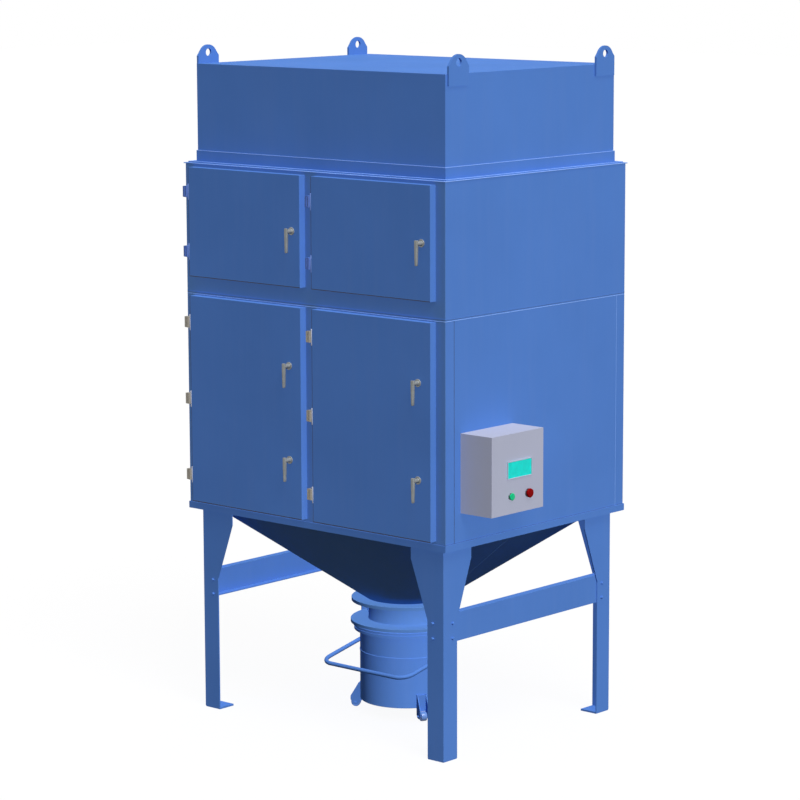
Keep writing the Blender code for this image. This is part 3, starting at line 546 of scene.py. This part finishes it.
# Height from the spindle, half width, half thickness and corner radius
LEVER = [(0.0166, 0.0066, 0.0044, 0.0028), (0.0162, 0.0084, 0.0056, 0.0034),
         (0.0150, 0.0094, 0.0064, 0.0034), (0.0110, 0.0096, 0.0066, 0.0030),
         (0.0, 0.0094, 0.0066, 0.0028), (-0.020, 0.0088, 0.0068, 0.0026),
         (-0.060, 0.0074, 0.0070, 0.0026), (-0.098, 0.0062, 0.0070, 0.0026),
         (-0.1060, 0.0056, 0.0066, 0.0026), (-0.1076, 0.0046, 0.0056, 0.0024),
         (-0.1082, 0.0032, 0.0040, 0.0020)]


def make_handle(name):
    low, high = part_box(name)
    hub = ((low.x + high.x) / 2, high.y, low.z + LEVER_DOWN)
    outward = facing(hub, (0, -1, 0))
    here = Matrix.Translation(hub)
    bm = bmesh.new()
    put_turned(bm, ROSE, WIDE_ROUND, outward)
    put_turned(bm, SPINDLE, MIDDLE_ROUND, outward)
    put_loft(bm, [[here @ Vector((u, -LEVER_OUT + v, z))
                   for u, v in rounded_rectangle(half_w, half_t, radius)]
                  for z, half_w, half_t, radius in LEVER])
    piece(name + "_cast", bm, steel_handle, name, sharp=30, replaces=[name])


for name in ("upper_left_handle", "upper_right_handle",
             "lower_left_handle_top", "lower_left_handle_bottom",
             "lower_right_handle_top", "lower_right_handle_bottom"):
    make_handle(name)


# Door gaskets, dark strips of painted shade along the doors' edges, and hinge trim whose leaf
# edges carry a painted highlight

GASKET_NEAR = 0.0034      # its two edges, in from the door's edge
GASKET_FAR = GASKET_NEAR + 0.014
GASKET_EASE = 0.003
GASKET_SHOULDER = 0.002
GASKET_DEPTH = 0.009
GASKET_GAP = 0.0006       # to the frame


def make_gasket(storey, side):
    left = DOOR_LEFT[side]
    low_z, high_z = DOOR_Z[storey]
    back_y = -HALF_D - SEAT - GASKET_GAP
    rows = [(GASKET_NEAR, back_y - GASKET_DEPTH), (GASKET_NEAR, back_y - GASKET_SHOULDER),
            (GASKET_NEAR + GASKET_EASE, back_y), (GASKET_FAR - GASKET_EASE, back_y),
            (GASKET_FAR, back_y - GASKET_SHOULDER), (GASKET_FAR, back_y - GASKET_DEPTH)]
    bm = bmesh.new()
    put_hoop(bm, [[at(u, y, v)
                   for u, v in rectangle((left, low_z), (left + DOOR_W, high_z), inset)]
                  for inset, y in rows])
    door = f"{storey}_{side}_door"
    piece(door + "_gasket", bm, black_rubber_and_shade, door)


STRIP_OVER = 0.0004
STRIP_TALL = 0.0030
STRIP_WIDE = 0.0015
STRIP_DEEP = 0.0010


# A thin dark strip along the bottom and the hinge side of the door's face: painted shade where the
# door's edge meets the frame
def make_door_shade_strip(storey, side):
    left = DOOR_LEFT[side]
    low_z, high_z = DOOR_Z[storey]
    outline = [(left - STRIP_OVER, low_z - STRIP_OVER), (left + DOOR_W, low_z - STRIP_OVER),
               (left + DOOR_W, low_z + STRIP_TALL), (left + STRIP_WIDE, low_z + STRIP_TALL),
               (left + STRIP_WIDE, high_z), (left - STRIP_OVER, high_z)]
    bm = bmesh.new()
    put_loft(bm, [[at(u, DOOR_FACE_Y + depth, v) for u, v in outline]
                  for depth in (-STRIP_OVER, STRIP_DEEP)])
    door = f"{storey}_{side}_door"
    piece(door + "_shade_strip", bm, black_rubber_and_shade, door, sharp=50)


LEAF_OUT = 0.0048         # past the door's edge
LEAF_IN = 0.0012
LEAF_FRONT = 0.0020       # before the door's face
LEAF_BACK = 0.0030
LEAF_HALF_H = 0.0425
LEAF_BEVEL = 0.0006
PIN_HEAD = [(0, -0.0005), (0.0058, -0.0005), (0.0058, 0.0005), (0.0050, 0.0011),
            (0.0028, 0.0015), (0, 0.0016)]
SCREW_HEAD = [(0, -0.0005), (0.0046, -0.0005), (0.0044, 0.0010), (0.0032, 0.0019),
              (0.0012, 0.0022), (0.0010, 0.0014), (0, 0.0014)]
SCREW_OUT = 0.003         # past the door's edge
SCREW_BACK = 0.018        # behind the door's face
SCREW_RISE = 0.034        # above and below the hinge's middle


def make_hinge_trim(storey, side):
    left = DOOR_LEFT[side]
    finish = steel_zinc if storey == "lower" else paint_blue
    heads = bmesh.new()
    screws = bmesh.new()
    leaf_edges = bmesh.new()
    for height in HINGE_Z[storey]:
        put_box(leaf_edges,
                at(left - LEAF_OUT, DOOR_FACE_Y - LEAF_FRONT, height - LEAF_HALF_H),
                at(left + LEAF_IN, DOOR_FACE_Y + LEAF_BACK, height + LEAF_HALF_H), LEAF_BEVEL)
        for sign in (-1, 1):
            head = at(left - HINGE_GAP, DOOR_FACE_Y + HINGE_BACK, height + sign * HINGE_H / 2)
            put_turned(heads, PIN_HEAD, SMALL_ROUND, facing(head, (0, 0, sign)))
            screw = at(left - SCREW_OUT, DOOR_FACE_Y + SCREW_BACK, height + sign * SCREW_RISE)
            put_turned(screws, SCREW_HEAD, TINY_ROUND, facing(screw, (-1, 0, 0)))
    piece(f"{storey}_{side}_hinge_pin_heads", heads, finish, "cabinet")
    piece(f"{storey}_{side}_hinge_screws", screws, finish, f"{storey}_{side}_door")
    piece(f"{storey}_{side}_hinge_leaf_edges", leaf_edges,
          leaf_highlight_paint[storey], f"{storey}_{side}_door", sharp=50)


for storey, side in DOORS:
    make_gasket(storey, side)
    make_door_shade_strip(storey, side)
    make_hinge_trim(storey, side)


# Bolts through the leg flanges, with nuts inside

BOLT_Z = (0.703, 0.626)
BOLT_IN = 0.069           # from the leg's outer corner


def make_leg_bolts():
    bolts = bmesh.new()
    nuts = bmesh.new()
    for sx, sy in CORNERS.values():
        for z in BOLT_Z:
            along = sy * (LEG_Y - BOLT_IN)
            put_bolt(bolts, at(sx * LEG_X, along, z), (sx, 0, 0), LEG_BOLT)
            put_bolt(nuts, at(sx * (LEG_X - LEG_T - SEAT - BRACE_T), along, z), (-sx, 0, 0),
                     LEG_NUT)
            along = sx * (LEG_X - BOLT_IN)
            put_bolt(bolts, at(along, sy * LEG_Y, z), (0, sy, 0), LEG_BOLT)
            put_bolt(nuts, at(along, sy * (LEG_Y - LEG_T), z), (0, -sy, 0), LEG_NUT)
    piece("leg_bolts", bolts, paint_blue, "cabinet", sharp=25)
    piece("leg_nuts", nuts, paint_blue, "cabinet", sharp=25)


make_leg_bolts()


# Tube sheet and pleated cartridges

CARTRIDGE_PLACES = [((column / (CARTRIDGE_COLUMNS - 1) - 0.5) * CARTRIDGE_SPAN_X,
                     (row / (CARTRIDGE_ROWS - 1) - 0.5) * CARTRIDGE_SPAN_Y)
                    for column in range(CARTRIDGE_COLUMNS) for row in range(CARTRIDGE_ROWS)]
TUBE_SHEET_OVER = 0.0004
TUBE_HOLE_R = 0.105


def make_tube_sheet():
    half_w = HALF_W + TUBE_SHEET_OVER
    half_d = HALF_D + TUBE_SHEET_OVER
    outline = rectangle((CX - half_w, CY - half_d), (CX + half_w, CY + half_d))
    holes = [ring(TUBE_HOLE_R, WIDE_ROUND, (CX + x, CY + y)) for x, y in CARTRIDGE_PLACES]
    bm = bmesh.new()
    plate_with_holes(bm, outline, holes, TUBE_SHEET_Z, TUBE_SHEET_Z + TUBE_SHEET_T)
    piece("tube_sheet", bm, paint_blue, "cabinet", sharp=30,
          replaces=["filter_cartridges"])


PLEATS = 100
CARTRIDGE_SEGMENTS = 96
MEDIA_ABOVE_FOOT = 0.020
MEDIA_BELOW_TOP = 0.024

# Part of the way round one pleat, and depth from the cartridge's radius
PLEAT = ((0.0, 0.0015), (0.32, 0.0045), (0.5, 0.0150), (0.68, 0.0045))

# Radius, and height from the cartridge's top, its foot or the middle of the band
TOP_CAP = [(CARTRIDGE_BORE, -0.025), (CARTRIDGE_R - 0.001, -0.025), (CARTRIDGE_R, -0.023),
           (CARTRIDGE_R, -0.003), (CARTRIDGE_R - 0.002, -0.0004), (CARTRIDGE_BORE, -0.0004)]
TOP_COLLAR = [(CARTRIDGE_BORE, -0.001), (0.1045, -0.001), (0.1045, 0.007),
              (0.122, 0.0066), (0.1235, 0.008), (0.122, 0.0105), (0.103, 0.0105),
              (CARTRIDGE_BORE, 0.009)]
FOOT_CAP = [(0, 0.021), (CARTRIDGE_R - 0.002, 0.021), (CARTRIDGE_R, 0.019),
            (CARTRIDGE_R, 0.004), (CARTRIDGE_R - 0.003, 0.0), (0.120, 0.0), (0.112, 0.004),
            (0, 0.004)]
BAND = [(CARTRIDGE_R - 0.0016, -0.006), (CARTRIDGE_R, -0.005), (CARTRIDGE_R, 0.005),
        (CARTRIDGE_R - 0.0016, 0.006)]
BAND_RISES = (0.26, 0.50, 0.74)


def make_cartridges():
    foot_z = TUBE_SHEET_Z + TUBE_SHEET_T / 4 - CARTRIDGE_L
    pleats = []
    for k in range(PLEATS):
        for part, depth in PLEAT:
            a = 2 * math.pi * (k + part) / PLEATS
            radius = CARTRIDGE_R - depth
            pleats.append((radius * math.cos(a), radius * math.sin(a)))
    bore = ring(CARTRIDGE_BORE, len(pleats))
    low_z = foot_z + MEDIA_ABOVE_FOOT
    high_z = TUBE_SHEET_Z - MEDIA_BELOW_TOP
    media = bmesh.new()
    ends = bmesh.new()
    for x, y in CARTRIDGE_PLACES:
        here = Matrix.Translation(at(x, y, 0))
        put_hoop(media, [[here @ Vector((u, v, z)) for u, v in points]
                         for points, z in ((pleats, low_z), (pleats, high_z),
                                           (bore, high_z), (bore, low_z))])
        put_turned(ends, raised(TOP_CAP, TUBE_SHEET_Z), CARTRIDGE_SEGMENTS, here, closed=True)
        put_turned(ends, raised(TOP_COLLAR, TUBE_SHEET_Z), CARTRIDGE_SEGMENTS, here,
                   closed=True)
        put_turned(ends, raised(FOOT_CAP, foot_z), CARTRIDGE_SEGMENTS, here)
        for rise in BAND_RISES:
            put_turned(ends, raised(BAND, foot_z + rise), CARTRIDGE_SEGMENTS, here, closed=True)
    piece("cartridge_media", media, media_white, "cabinet", sharp=40,
          replaces=["filter_cartridges"])
    piece("cartridge_ends", ends, steel_zinc, "cabinet", sharp=30,
          replaces=["filter_cartridges"])


make_tube_sheet()
make_cartridges()


# Hopper, finer than its solid, with a weld bead down the middle of each end

HOPPER_SEGMENTS = 128
HOPPER_BEAD_R = 0.0018
HOPPER_BEAD_STEPS = 24


def square_ring(half_w, half_d, z):
    return [at(sx * half_w, sy * half_d, z) for sx, sy in QUARTERS]


def make_hopper():
    bm = bmesh.new()
    top = BASE_Z - SEAT
    under = top - HOPPER_EDGE_T
    bottom = OUTLET_Z + SEAT

    def square(extra, z):
        return [bm.verts.new(point)
                for point in square_ring(HOPPER_HALF_W + extra, HOPPER_HALF_D + extra, z)]

    def circle(radius):
        return [bm.verts.new(at(u, v, bottom)) for u, v in ring(radius, HOPPER_SEGMENTS)]

    # Four fans of triangles from the corners, and a flat triangle between each two
    def loft(corners, around):
        quarter = HOPPER_SEGMENTS // 4
        for i in range(4):
            for step in range(quarter):
                a = around[(i * quarter + step) % HOPPER_SEGMENTS]
                b = around[(i * quarter + step + 1) % HOPPER_SEGMENTS]
                bm.faces.new((corners[i], b, a))
            meeting = around[((i + 1) * quarter) % HOPPER_SEGMENTS]
            bm.faces.new((corners[i], corners[(i + 1) % 4], meeting))

    inner_corners = square(-HOPPER_INSET, top)
    lip_top = square(HOPPER_LIP, top)
    lip_under = square(HOPPER_LIP, under)
    outer_corners = square(0, under)
    outer_circle = circle(HOPPER_ROUND_R)
    inner_circle = circle(HOPPER_ROUND_R - HOPPER_INSET)
    strip(bm, inner_corners, lip_top)
    strip(bm, lip_top, lip_under)
    strip(bm, lip_under, outer_corners)
    loft(outer_corners, outer_circle)
    strip(bm, outer_circle, inner_circle)
    loft(inner_corners, inner_circle)
    piece("hopper_sheet", bm, hopper_lit_paint, "cabinet", sharp=20,
          replaces=["hopper"])
    beads = bmesh.new()
    for sign in (1, -1):
        start = at(sign * HOPPER_HALF_W, 0, under)
        end = at(sign * HOPPER_ROUND_R, 0, bottom)
        route = [start.lerp(end, k / HOPPER_BEAD_STEPS) for k in range(HOPPER_BEAD_STEPS + 1)]
        put_tube(beads, route, HOPPER_BEAD_R, sides=10)
    piece("hopper_weld_beads", beads, hopper_lit_paint, "cabinet")


make_hopper()


# Outlet flange, lid and bin as smooth turned pieces

TURNED_SEGMENTS = 160
EDGE_EASE = 0.0015


def make_turned(name, profile, node, body, material, closed=True):
    bm = bmesh.new()
    put_turned(bm, profile, TURNED_SEGMENTS, Matrix.Translation(at(0, 0, 0)), closed)
    piece(name, bm, material, body, sharp=28, replaces=[node])


bore = NECK_R - NECK_T
flange_low = OUTLET_Z - OUTLET_T
make_turned("outlet_ring", [(bore, flange_low), (OUTLET_R, flange_low),
                            (OUTLET_R, OUTLET_Z - EDGE_EASE), (OUTLET_R - EDGE_EASE, OUTLET_Z),
                            (bore, OUTLET_Z)],
            "outlet_flange", "cabinet", outlet_lit_paint)

WELD_H = 0.004            # fillet between the neck and the lid
WELD_W = 0.005
lid_low = LID_Z - LID_T
neck_top = flange_low - SEAT
make_turned("lid_and_neck", [(bore, lid_low), (bore, neck_top), (NECK_R, neck_top),
                             (NECK_R, LID_Z + WELD_H), (NECK_R + 0.0015, LID_Z + 0.001),
                             (NECK_R + WELD_W, LID_Z), (LID_R - EDGE_EASE, LID_Z),
                             (LID_R, LID_Z - EDGE_EASE), (LID_R, lid_low)],
            "bin_lid", "cabinet", outlet_lit_paint)

BIN_RING_TOP_R = 0.2752
BIN_RING_R = 0.2770
BEAD_OUT = 0.0020
BEAD_TOP_Z = 0.3345
BEAD_EASE_Z = 0.3328
BEAD_LOW_Z = 0.3270
bin_inner = BIN_R - BIN_WALL
bin_floor = BIN_BOTTOM_Z + BIN_FLOOR_T
rim_low = BIN_TOP_Z - BIN_RIM_T
ring_low = rim_low - BIN_RING_T
make_turned("bin_shell", [(0, bin_floor), (bin_inner - 0.002, bin_floor),
                          (bin_inner, bin_floor + 0.002),
                          (bin_inner, BIN_TOP_Z - 0.003), (bin_inner + 0.003, BIN_TOP_Z),
                          (BIN_RIM_R - 0.001, BIN_TOP_Z), (BIN_RIM_R, BIN_TOP_Z - 0.001),
                          (BIN_RIM_R, rim_low), (BIN_RING_TOP_R, rim_low),
                          (BIN_RING_TOP_R, rim_low - 0.0105), (BIN_RING_R, rim_low - 0.0112),
                          (BIN_RING_R, ring_low), (BIN_R, ring_low),
                          (BIN_R, BEAD_TOP_Z), (BIN_R + BEAD_OUT, BEAD_EASE_Z),
                          (BIN_R + BEAD_OUT, BEAD_LOW_Z), (BIN_R, BEAD_LOW_Z),
                          (BIN_R, BIN_BOTTOM_Z + EDGE_EASE),
                          (BIN_R - EDGE_EASE, BIN_BOTTOM_Z), (0, BIN_BOTTOM_Z)],
            "dust_bin", "dust_bin", bin_lit_paint, closed=False)


# Push handle of the bin, with a weld collar at each end

GRIP_BEND_STEPS = 16
GRIP_COLLAR = [(0.0112, 0.0002), (0.0150, 0.0002), (0.0142, 0.0024), (0.0122, 0.0040),
               (0.0112, 0.0046)]


def make_grip():
    end_x = BIN_R + SEAT
    plan = ((-end_x, 0), (-GRIP_HALF_W, 0), (-GRIP_HALF_W, -GRIP_FRONT),
            (GRIP_HALF_W, -GRIP_FRONT), (GRIP_HALF_W, 0), (end_x, 0))
    corners = [at(x, y, GRIP_Z + GRIP_SLOPE * y) for x, y in plan]
    bends = (GRIP_END_BEND_R, GRIP_BEND_R, GRIP_BEND_R, GRIP_END_BEND_R)
    route = [corners[0]]
    for i, radius in enumerate(bends, start=1):
        route += arc_points(corners[i], corners[i - 1], corners[i + 1], radius,
                            GRIP_BEND_STEPS)
    route.append(corners[-1])
    bm = bmesh.new()
    put_tube(bm, route, GRIP_R, sides=24)
    piece("push_handle_tube", bm, paint_blue, "dust_bin", sharp=40,
          replaces=["bin_handle"])
    collars = bmesh.new()
    for sign in (-1, 1):
        spot = facing(at(sign * end_x, 0, GRIP_Z), (sign, 0, 0))
        put_turned(collars, GRIP_COLLAR, SMALL_ROUND, spot, closed=True)
    piece("push_handle_welds", collars, paint_blue, "dust_bin")


make_grip()


# Casters: wheels and axle nuts

# Radius, and distance from the wheel's middle, from the bore out to the tread
WHEEL_HALF = [(0.0044, 0.0165), (0.0085, 0.0165), (0.0095, 0.0150), (0.0180, 0.0145),
              (0.0190, 0.0160), (0.0220, 0.0160), (0.0240, 0.0145), (WHEEL_R, 0.0120)]
WHEEL = [(radius, -w) for radius, w in WHEEL_HALF] + WHEEL_HALF[::-1]
AXLE_NUT_OUT = 0.0265     # from the wheel's middle


def make_casters():
    nuts = bmesh.new()
    for label, bearing in CASTERS.items():
        a = math.radians(bearing)
        hub = at(CASTER_REACH * math.cos(a), CASTER_REACH * math.sin(a), WHEEL_R)
        across = Vector((-math.sin(a), math.cos(a), 0))
        wheel = bmesh.new()
        put_turned(wheel, WHEEL, WIDE_ROUND, facing(hub, across), closed=True)
        piece(f"caster_tread_{label}", wheel, tyre_blue, f"caster_wheel_{label}",
              sharp=30, replaces=[f"caster_wheel_{label}"])
        for sign in (-1, 1):
            put_bolt(nuts, hub + across * sign * AXLE_NUT_OUT, across * sign, AXLE_NUT)
    piece("caster_axle_nuts", nuts, bin_lit_paint, "dust_bin", sharp=25)


make_casters()


# Dark strips and light beads round the housing: painted shade lines at the seams and painted
# highlight lines along the edges

ROOF_Z = TUBE_SHEET_Z + TUBE_SHEET_T + UPPER_H
FAN_HALF_W = HALF_W - FAN_BOX_INSET_X
FAN_HALF_D = HALF_D - FAN_BOX_INSET_Y

# Distance out from the housing or the fan box, height and radius of each light bead, whose lighter
# paint is a painted highlight
CABINET_HIGHLIGHT_BEADS = ((0.0, TUBE_SHEET_Z - 0.0100, 0.0013), (0.0062, ROOF_Z + 0.0032, 0.0020))
FAN_HIGHLIGHT_BEADS = ((0.0346, ROOF_Z + 0.0102, 0.0014), (0.0048, ROOF_Z + 0.0658, 0.0014))
HIGHLIGHT_BEAD_SIDES = 12

# Lower edge and height of each dark strip, a painted shadow line at a seam, the lower one just
# over the base frame
SHADE_LINES = ((TUBE_SHEET_Z - 0.0032, 0.0012), (1.1206, 0.0010))
SHADE_LINE_IN = 0.0010
SHADE_LINE_OUT = 0.0004

# Upright joints between the side panels and the corner posts of the lower storey: the dark strip
# at the front one is painted shade, the light bead at the back one a painted highlight
POST_W = 0.066
JOINT_LOW_Z = 1.121
JOINT_HIGH_Z = TUBE_SHEET_Z - 0.012
JOINT_HIGHLIGHT_R = 0.0007
JOINT_SHADE_LINE_IN = 0.0006
JOINT_SHADE_LINE_W = 0.0022


# A square ring round the housing, its profile given as distance out and height
def put_band(bm, half_w, half_d, profile):
    put_hoop(bm, [square_ring(half_w + out, half_d + out, z) for out, z in profile])


def make_highlight_beads():
    highlight_beads = bmesh.new()
    for half_w, half_d, rows in ((HALF_W, HALF_D, CABINET_HIGHLIGHT_BEADS),
                                 (FAN_HALF_W, FAN_HALF_D, FAN_HIGHLIGHT_BEADS)):
        for out, z, radius in rows:
            put_band(highlight_beads, half_w + out, half_d + out, ring(radius, HIGHLIGHT_BEAD_SIDES, (0.0, z)))
    for sx in (-1, 1):
        joint_y = HALF_D - POST_W
        put_tube(highlight_beads, [at(sx * HALF_W, joint_y, JOINT_LOW_Z),
                        at(sx * HALF_W, joint_y, JOINT_HIGH_Z)], JOINT_HIGHLIGHT_R, HIGHLIGHT_BEAD_SIDES)
    piece("housing_highlight_beads", highlight_beads, highlight_paint, "cabinet", sharp=50)


def make_shade_lines():
    shade_lines = bmesh.new()
    for z, height in SHADE_LINES:
        put_band(shade_lines, HALF_W, HALF_D, [(-SHADE_LINE_IN, z), (SHADE_LINE_OUT, z),
                                         (SHADE_LINE_OUT, z + height), (-SHADE_LINE_IN, z + height)])
    for sx in (-1, 1):
        joint_y = -HALF_D + POST_W
        low_x, high_x = sorted((sx * (HALF_W - JOINT_SHADE_LINE_IN), sx * (HALF_W + SHADE_LINE_OUT)))
        put_box(shade_lines, at(low_x, joint_y, JOINT_LOW_Z),
                at(high_x, joint_y + JOINT_SHADE_LINE_W, JOINT_HIGH_Z))
    piece("housing_shade_lines", shade_lines, black_rubber_and_shade, "cabinet", sharp=50)


make_highlight_beads()
make_shade_lines()


# Lifting lugs with round eyes and a round crown

EYE_Z = 3.480
EYE_R = 0.020
LUG_HALF_W = 0.075
LUG_SHOULDER = -0.016     # from the eye
CROWN_R = 0.065
CROWN_CENTRE = -0.025     # from the eye
CROWN_START = 28          # degrees from level
CROWN_SWEEP = 124
CROWN_STEPS = 32


def make_lug(label):
    name = f"lifting_lug_{label}"
    low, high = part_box(name)
    half_t = (high.x - low.x) / 2
    eye = Vector(((low.x + high.x) / 2, (low.y + high.y) / 2, EYE_Z))
    outline = [(-LUG_HALF_W, low.z - eye.z), (LUG_HALF_W, low.z - eye.z),
               (LUG_HALF_W, LUG_SHOULDER)]
    for i in range(CROWN_STEPS + 1):
        angle = math.radians(CROWN_START + CROWN_SWEEP * i / CROWN_STEPS)
        outline.append((CROWN_R * math.cos(angle), CROWN_CENTRE + CROWN_R * math.sin(angle)))
    outline.append((-LUG_HALF_W, LUG_SHOULDER))
    bm = bmesh.new()
    plate_with_holes(bm, outline, [ring(EYE_R, MIDDLE_ROUND)], -half_t, half_t)
    turn = Matrix(((0, 0, 1, eye.x), (1, 0, 0, eye.y), (0, 1, 0, eye.z), (0, 0, 0, 1)))
    bmesh.ops.transform(bm, matrix=turn, verts=bm.verts)
    piece(name + "_plate", bm, paint_blue, "cabinet", sharp=25, replaces=[name])


for label in CORNERS:
    make_lug(label)


# Screen bezel: a thin raised frame round the panel

BEZEL_W = 0.0042
BEZEL_OUT = 0.0040
BEZEL_IN = 0.0012
BEZEL_EASE = 0.0006


def make_bezel():
    low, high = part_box("control_screen")
    rows = [(-BEZEL_IN, 0.0), (BEZEL_OUT - BEZEL_EASE, 0.0), (BEZEL_OUT, BEZEL_EASE),
            (BEZEL_OUT, BEZEL_W - BEZEL_EASE), (BEZEL_OUT - BEZEL_EASE, BEZEL_W),
            (-BEZEL_IN, BEZEL_W)]
    bm = bmesh.new()
    put_hoop(bm, [[(high.x + out, y, z)
                   for y, z in rectangle((low.y, low.z), (high.y, high.z), -wide)]
                  for out, wide in rows])
    piece("screen_bezel", bm, paint_grey, "cabinet", sharp=30)


make_bezel()


# Push buttons

BUTTON_EASE = 0.001
CAP_STRAIGHT = 0.62       # share of the cap's height below its dome
CAP_DOME = 0.34
CAP_FLAT = 0.72           # share of the cap's radius inside the dome's round
CAP_ROUND = 0.28
CAP_STEPS = 8
COLLAR_BORE = 0.0105
COLLAR_IN = 0.001
COLLAR_OUT = 0.0028
COLLAR_SHOULDER = 0.0016


def make_button(name, along, radius, cap, material):
    spot = facing(at(HALF_W + CONTROL_DEPTH, CONTROL_Y + along, CONTROL_Z + BUTTON_Z), (1, 0, 0))
    out = BUTTON_STANDOFF
    rows = [(0, -BUTTON_STEM_IN), (BUTTON_STEM_R, -BUTTON_STEM_IN), (BUTTON_STEM_R, out),
            (radius - BUTTON_EASE, out), (radius, out + BUTTON_EASE),
            (radius, out + cap * CAP_STRAIGHT)]
    for i in range(1, CAP_STEPS + 1):
        a = math.radians(90 * i / CAP_STEPS)
        rows.append((radius * (CAP_FLAT + CAP_ROUND * math.cos(a)),
                     out + cap * (CAP_STRAIGHT + CAP_DOME * math.sin(a))))
    rows += [(radius * 0.4, out + cap * 0.99), (0, out + cap)]
    bm = bmesh.new()
    put_turned(bm, rows, WIDE_ROUND, spot)
    piece(name + "_cap", bm, material, name, sharp=30, replaces=[name])
    collar = bmesh.new()
    put_turned(collar, [(COLLAR_BORE, -COLLAR_IN), (radius * 0.95, -COLLAR_IN),
                        (radius * 0.95, COLLAR_SHOULDER), (radius * 0.88, COLLAR_OUT),
                        (COLLAR_BORE, COLLAR_OUT)], WIDE_ROUND, spot, closed=True)
    piece(name + "_collar", collar, steel_dark, "cabinet", sharp=30)


make_button("start_button", along=0.1455, radius=0.018, cap=0.006,
            material=button_green)
make_button("stop_button", along=0.280, radius=0.023, cap=0.012,
            material=button_red)


# World, floor, lamps and camera

# Share of the plain white that camera rays, mirrored rays and rays through glass see
def white_share(tree):
    rays = tree.nodes.new("ShaderNodeLightPath")
    share = rays.outputs["Is Camera Ray"]
    for name in ("Is Transmission Ray", "Is Glossy Ray"):
        most = tree.nodes.new("ShaderNodeMath")
        most.operation = "MAXIMUM"
        tree.links.new(share, most.inputs[0])
        tree.links.new(rays.outputs[name], most.inputs[1])
        share = most.outputs[0]
    return share


# White for the rays that white_share names, and dim for all others
def split_by_ray(tree, dim, white, output):
    mix = tree.nodes.new("ShaderNodeMixShader")
    tree.links.new(white_share(tree), mix.inputs[0])
    tree.links.new(dim.outputs[0], mix.inputs[1])
    tree.links.new(white.outputs[0], mix.inputs[2])
    tree.links.new(mix.outputs[0], output.inputs["Surface"])


AMBIENT = 0.16
AMBIENT_COLOR = (1.0, 0.97, 0.94, 1)


def make_world():
    world = bpy.data.worlds.new("studio")
    bpy.context.scene.world = world
    world.use_nodes = True
    tree = world.node_tree
    white = tree.nodes.new("ShaderNodeBackground")
    white.inputs["Color"].default_value = (1, 1, 1, 1)
    white.inputs["Strength"].default_value = 1.0
    ambient = tree.nodes["Background"]
    ambient.inputs["Color"].default_value = AMBIENT_COLOR
    ambient.inputs["Strength"].default_value = AMBIENT
    split_by_ray(tree, ambient, white, tree.nodes["World Output"])


FLOOR_HALF = 60
FLOOR_DROP = 0.001
FLOOR_GLOW = 0.63
FLOOR_LIT = 0.30          # with the glow, white where lit and slightly grey in the shadow
FLOOR_BOUNCE = 0.10


def add_diffuse(tree, level):
    node = tree.nodes.new("ShaderNodeBsdfDiffuse")
    node.inputs["Color"].default_value = (level, level, level, 1)
    return node


def make_floor():
    mesh = bpy.data.meshes.new("floor")
    bm = bmesh.new()
    bmesh.ops.create_grid(bm, x_segments=1, y_segments=1, size=FLOOR_HALF)
    bm.to_mesh(mesh)
    bm.free()
    floor = bpy.data.objects.new("floor", mesh)
    bpy.context.scene.collection.objects.link(floor)
    floor.location = (0, 0, -FLOOR_DROP)
    look = bpy.data.materials.new("floor_white")
    look.use_nodes = True
    tree = look.node_tree
    tree.nodes.remove(tree.nodes["Principled BSDF"])
    glow = tree.nodes.new("ShaderNodeEmission")
    glow.inputs["Strength"].default_value = FLOOR_GLOW
    white = tree.nodes.new("ShaderNodeAddShader")
    tree.links.new(glow.outputs[0], white.inputs[0])
    tree.links.new(add_diffuse(tree, FLOOR_LIT).outputs[0], white.inputs[1])
    split_by_ray(tree, add_diffuse(tree, FLOOR_BOUNCE), white, tree.nodes["Material Output"])
    mesh.materials.append(look)


def add_sun(name, direction, strength, spread, shadow=True, glossy=True):
    light = bpy.data.lights.new(name, "SUN")
    light.energy = strength
    light.angle = math.radians(spread)
    light.use_shadow = shadow
    lamp = bpy.data.objects.new(name, light)
    bpy.context.scene.collection.objects.link(lamp)
    lamp.rotation_euler = Vector(direction).to_track_quat("Z", "Y").to_euler()
    lamp.visible_glossy = glossy


KEY = (0.584, -0.269, 0.766)
BACK = (-0.60, 0.80, 0.06)
make_world()
make_floor()
add_sun("key", KEY, strength=0.42, spread=30)
add_sun("key_flat", KEY, strength=4.00, spread=0, shadow=False)
add_sun("back_flat", BACK, strength=1.50, spread=0, shadow=False, glossy=False)

# The camera, solved from the photograph's edges
FRAME_PIXELS = 800
FOCAL_PIXELS = 3046.79
SENSOR_MM = 36
AZIMUTH = math.radians(41.575)
ELEVATION = math.radians(9.194)
ROLL = math.radians(-0.19)
AIM_ACROSS = -0.0292
AIM_Z = 1.6661
DISTANCE = 16.0
CLIP_END = 200


def make_camera():
    right = Vector((math.cos(AZIMUTH), math.sin(AZIMUTH), 0))
    back = Vector((math.sin(AZIMUTH) * math.cos(ELEVATION),
                   -math.cos(AZIMUTH) * math.cos(ELEVATION), math.sin(ELEVATION)))
    up = back.cross(right)
    eye = right * AIM_ACROSS + Vector((0, 0, AIM_Z)) + back * DISTANCE + Vector((CX, CY, 0))
    view = Matrix((right, up, back)).transposed().to_4x4()
    data = bpy.data.cameras.new("camera")
    data.sensor_width = SENSOR_MM
    data.lens = FOCAL_PIXELS * SENSOR_MM / FRAME_PIXELS
    data.clip_end = CLIP_END
    camera = bpy.data.objects.new("camera", data)
    bpy.context.scene.collection.objects.link(camera)
    camera.matrix_world = Matrix.Translation(eye) @ view @ Matrix.Rotation(ROLL, 4, "Z")
    bpy.context.scene.camera = camera


make_camera()
bpy.context.scene.view_settings.view_transform = "Standard"
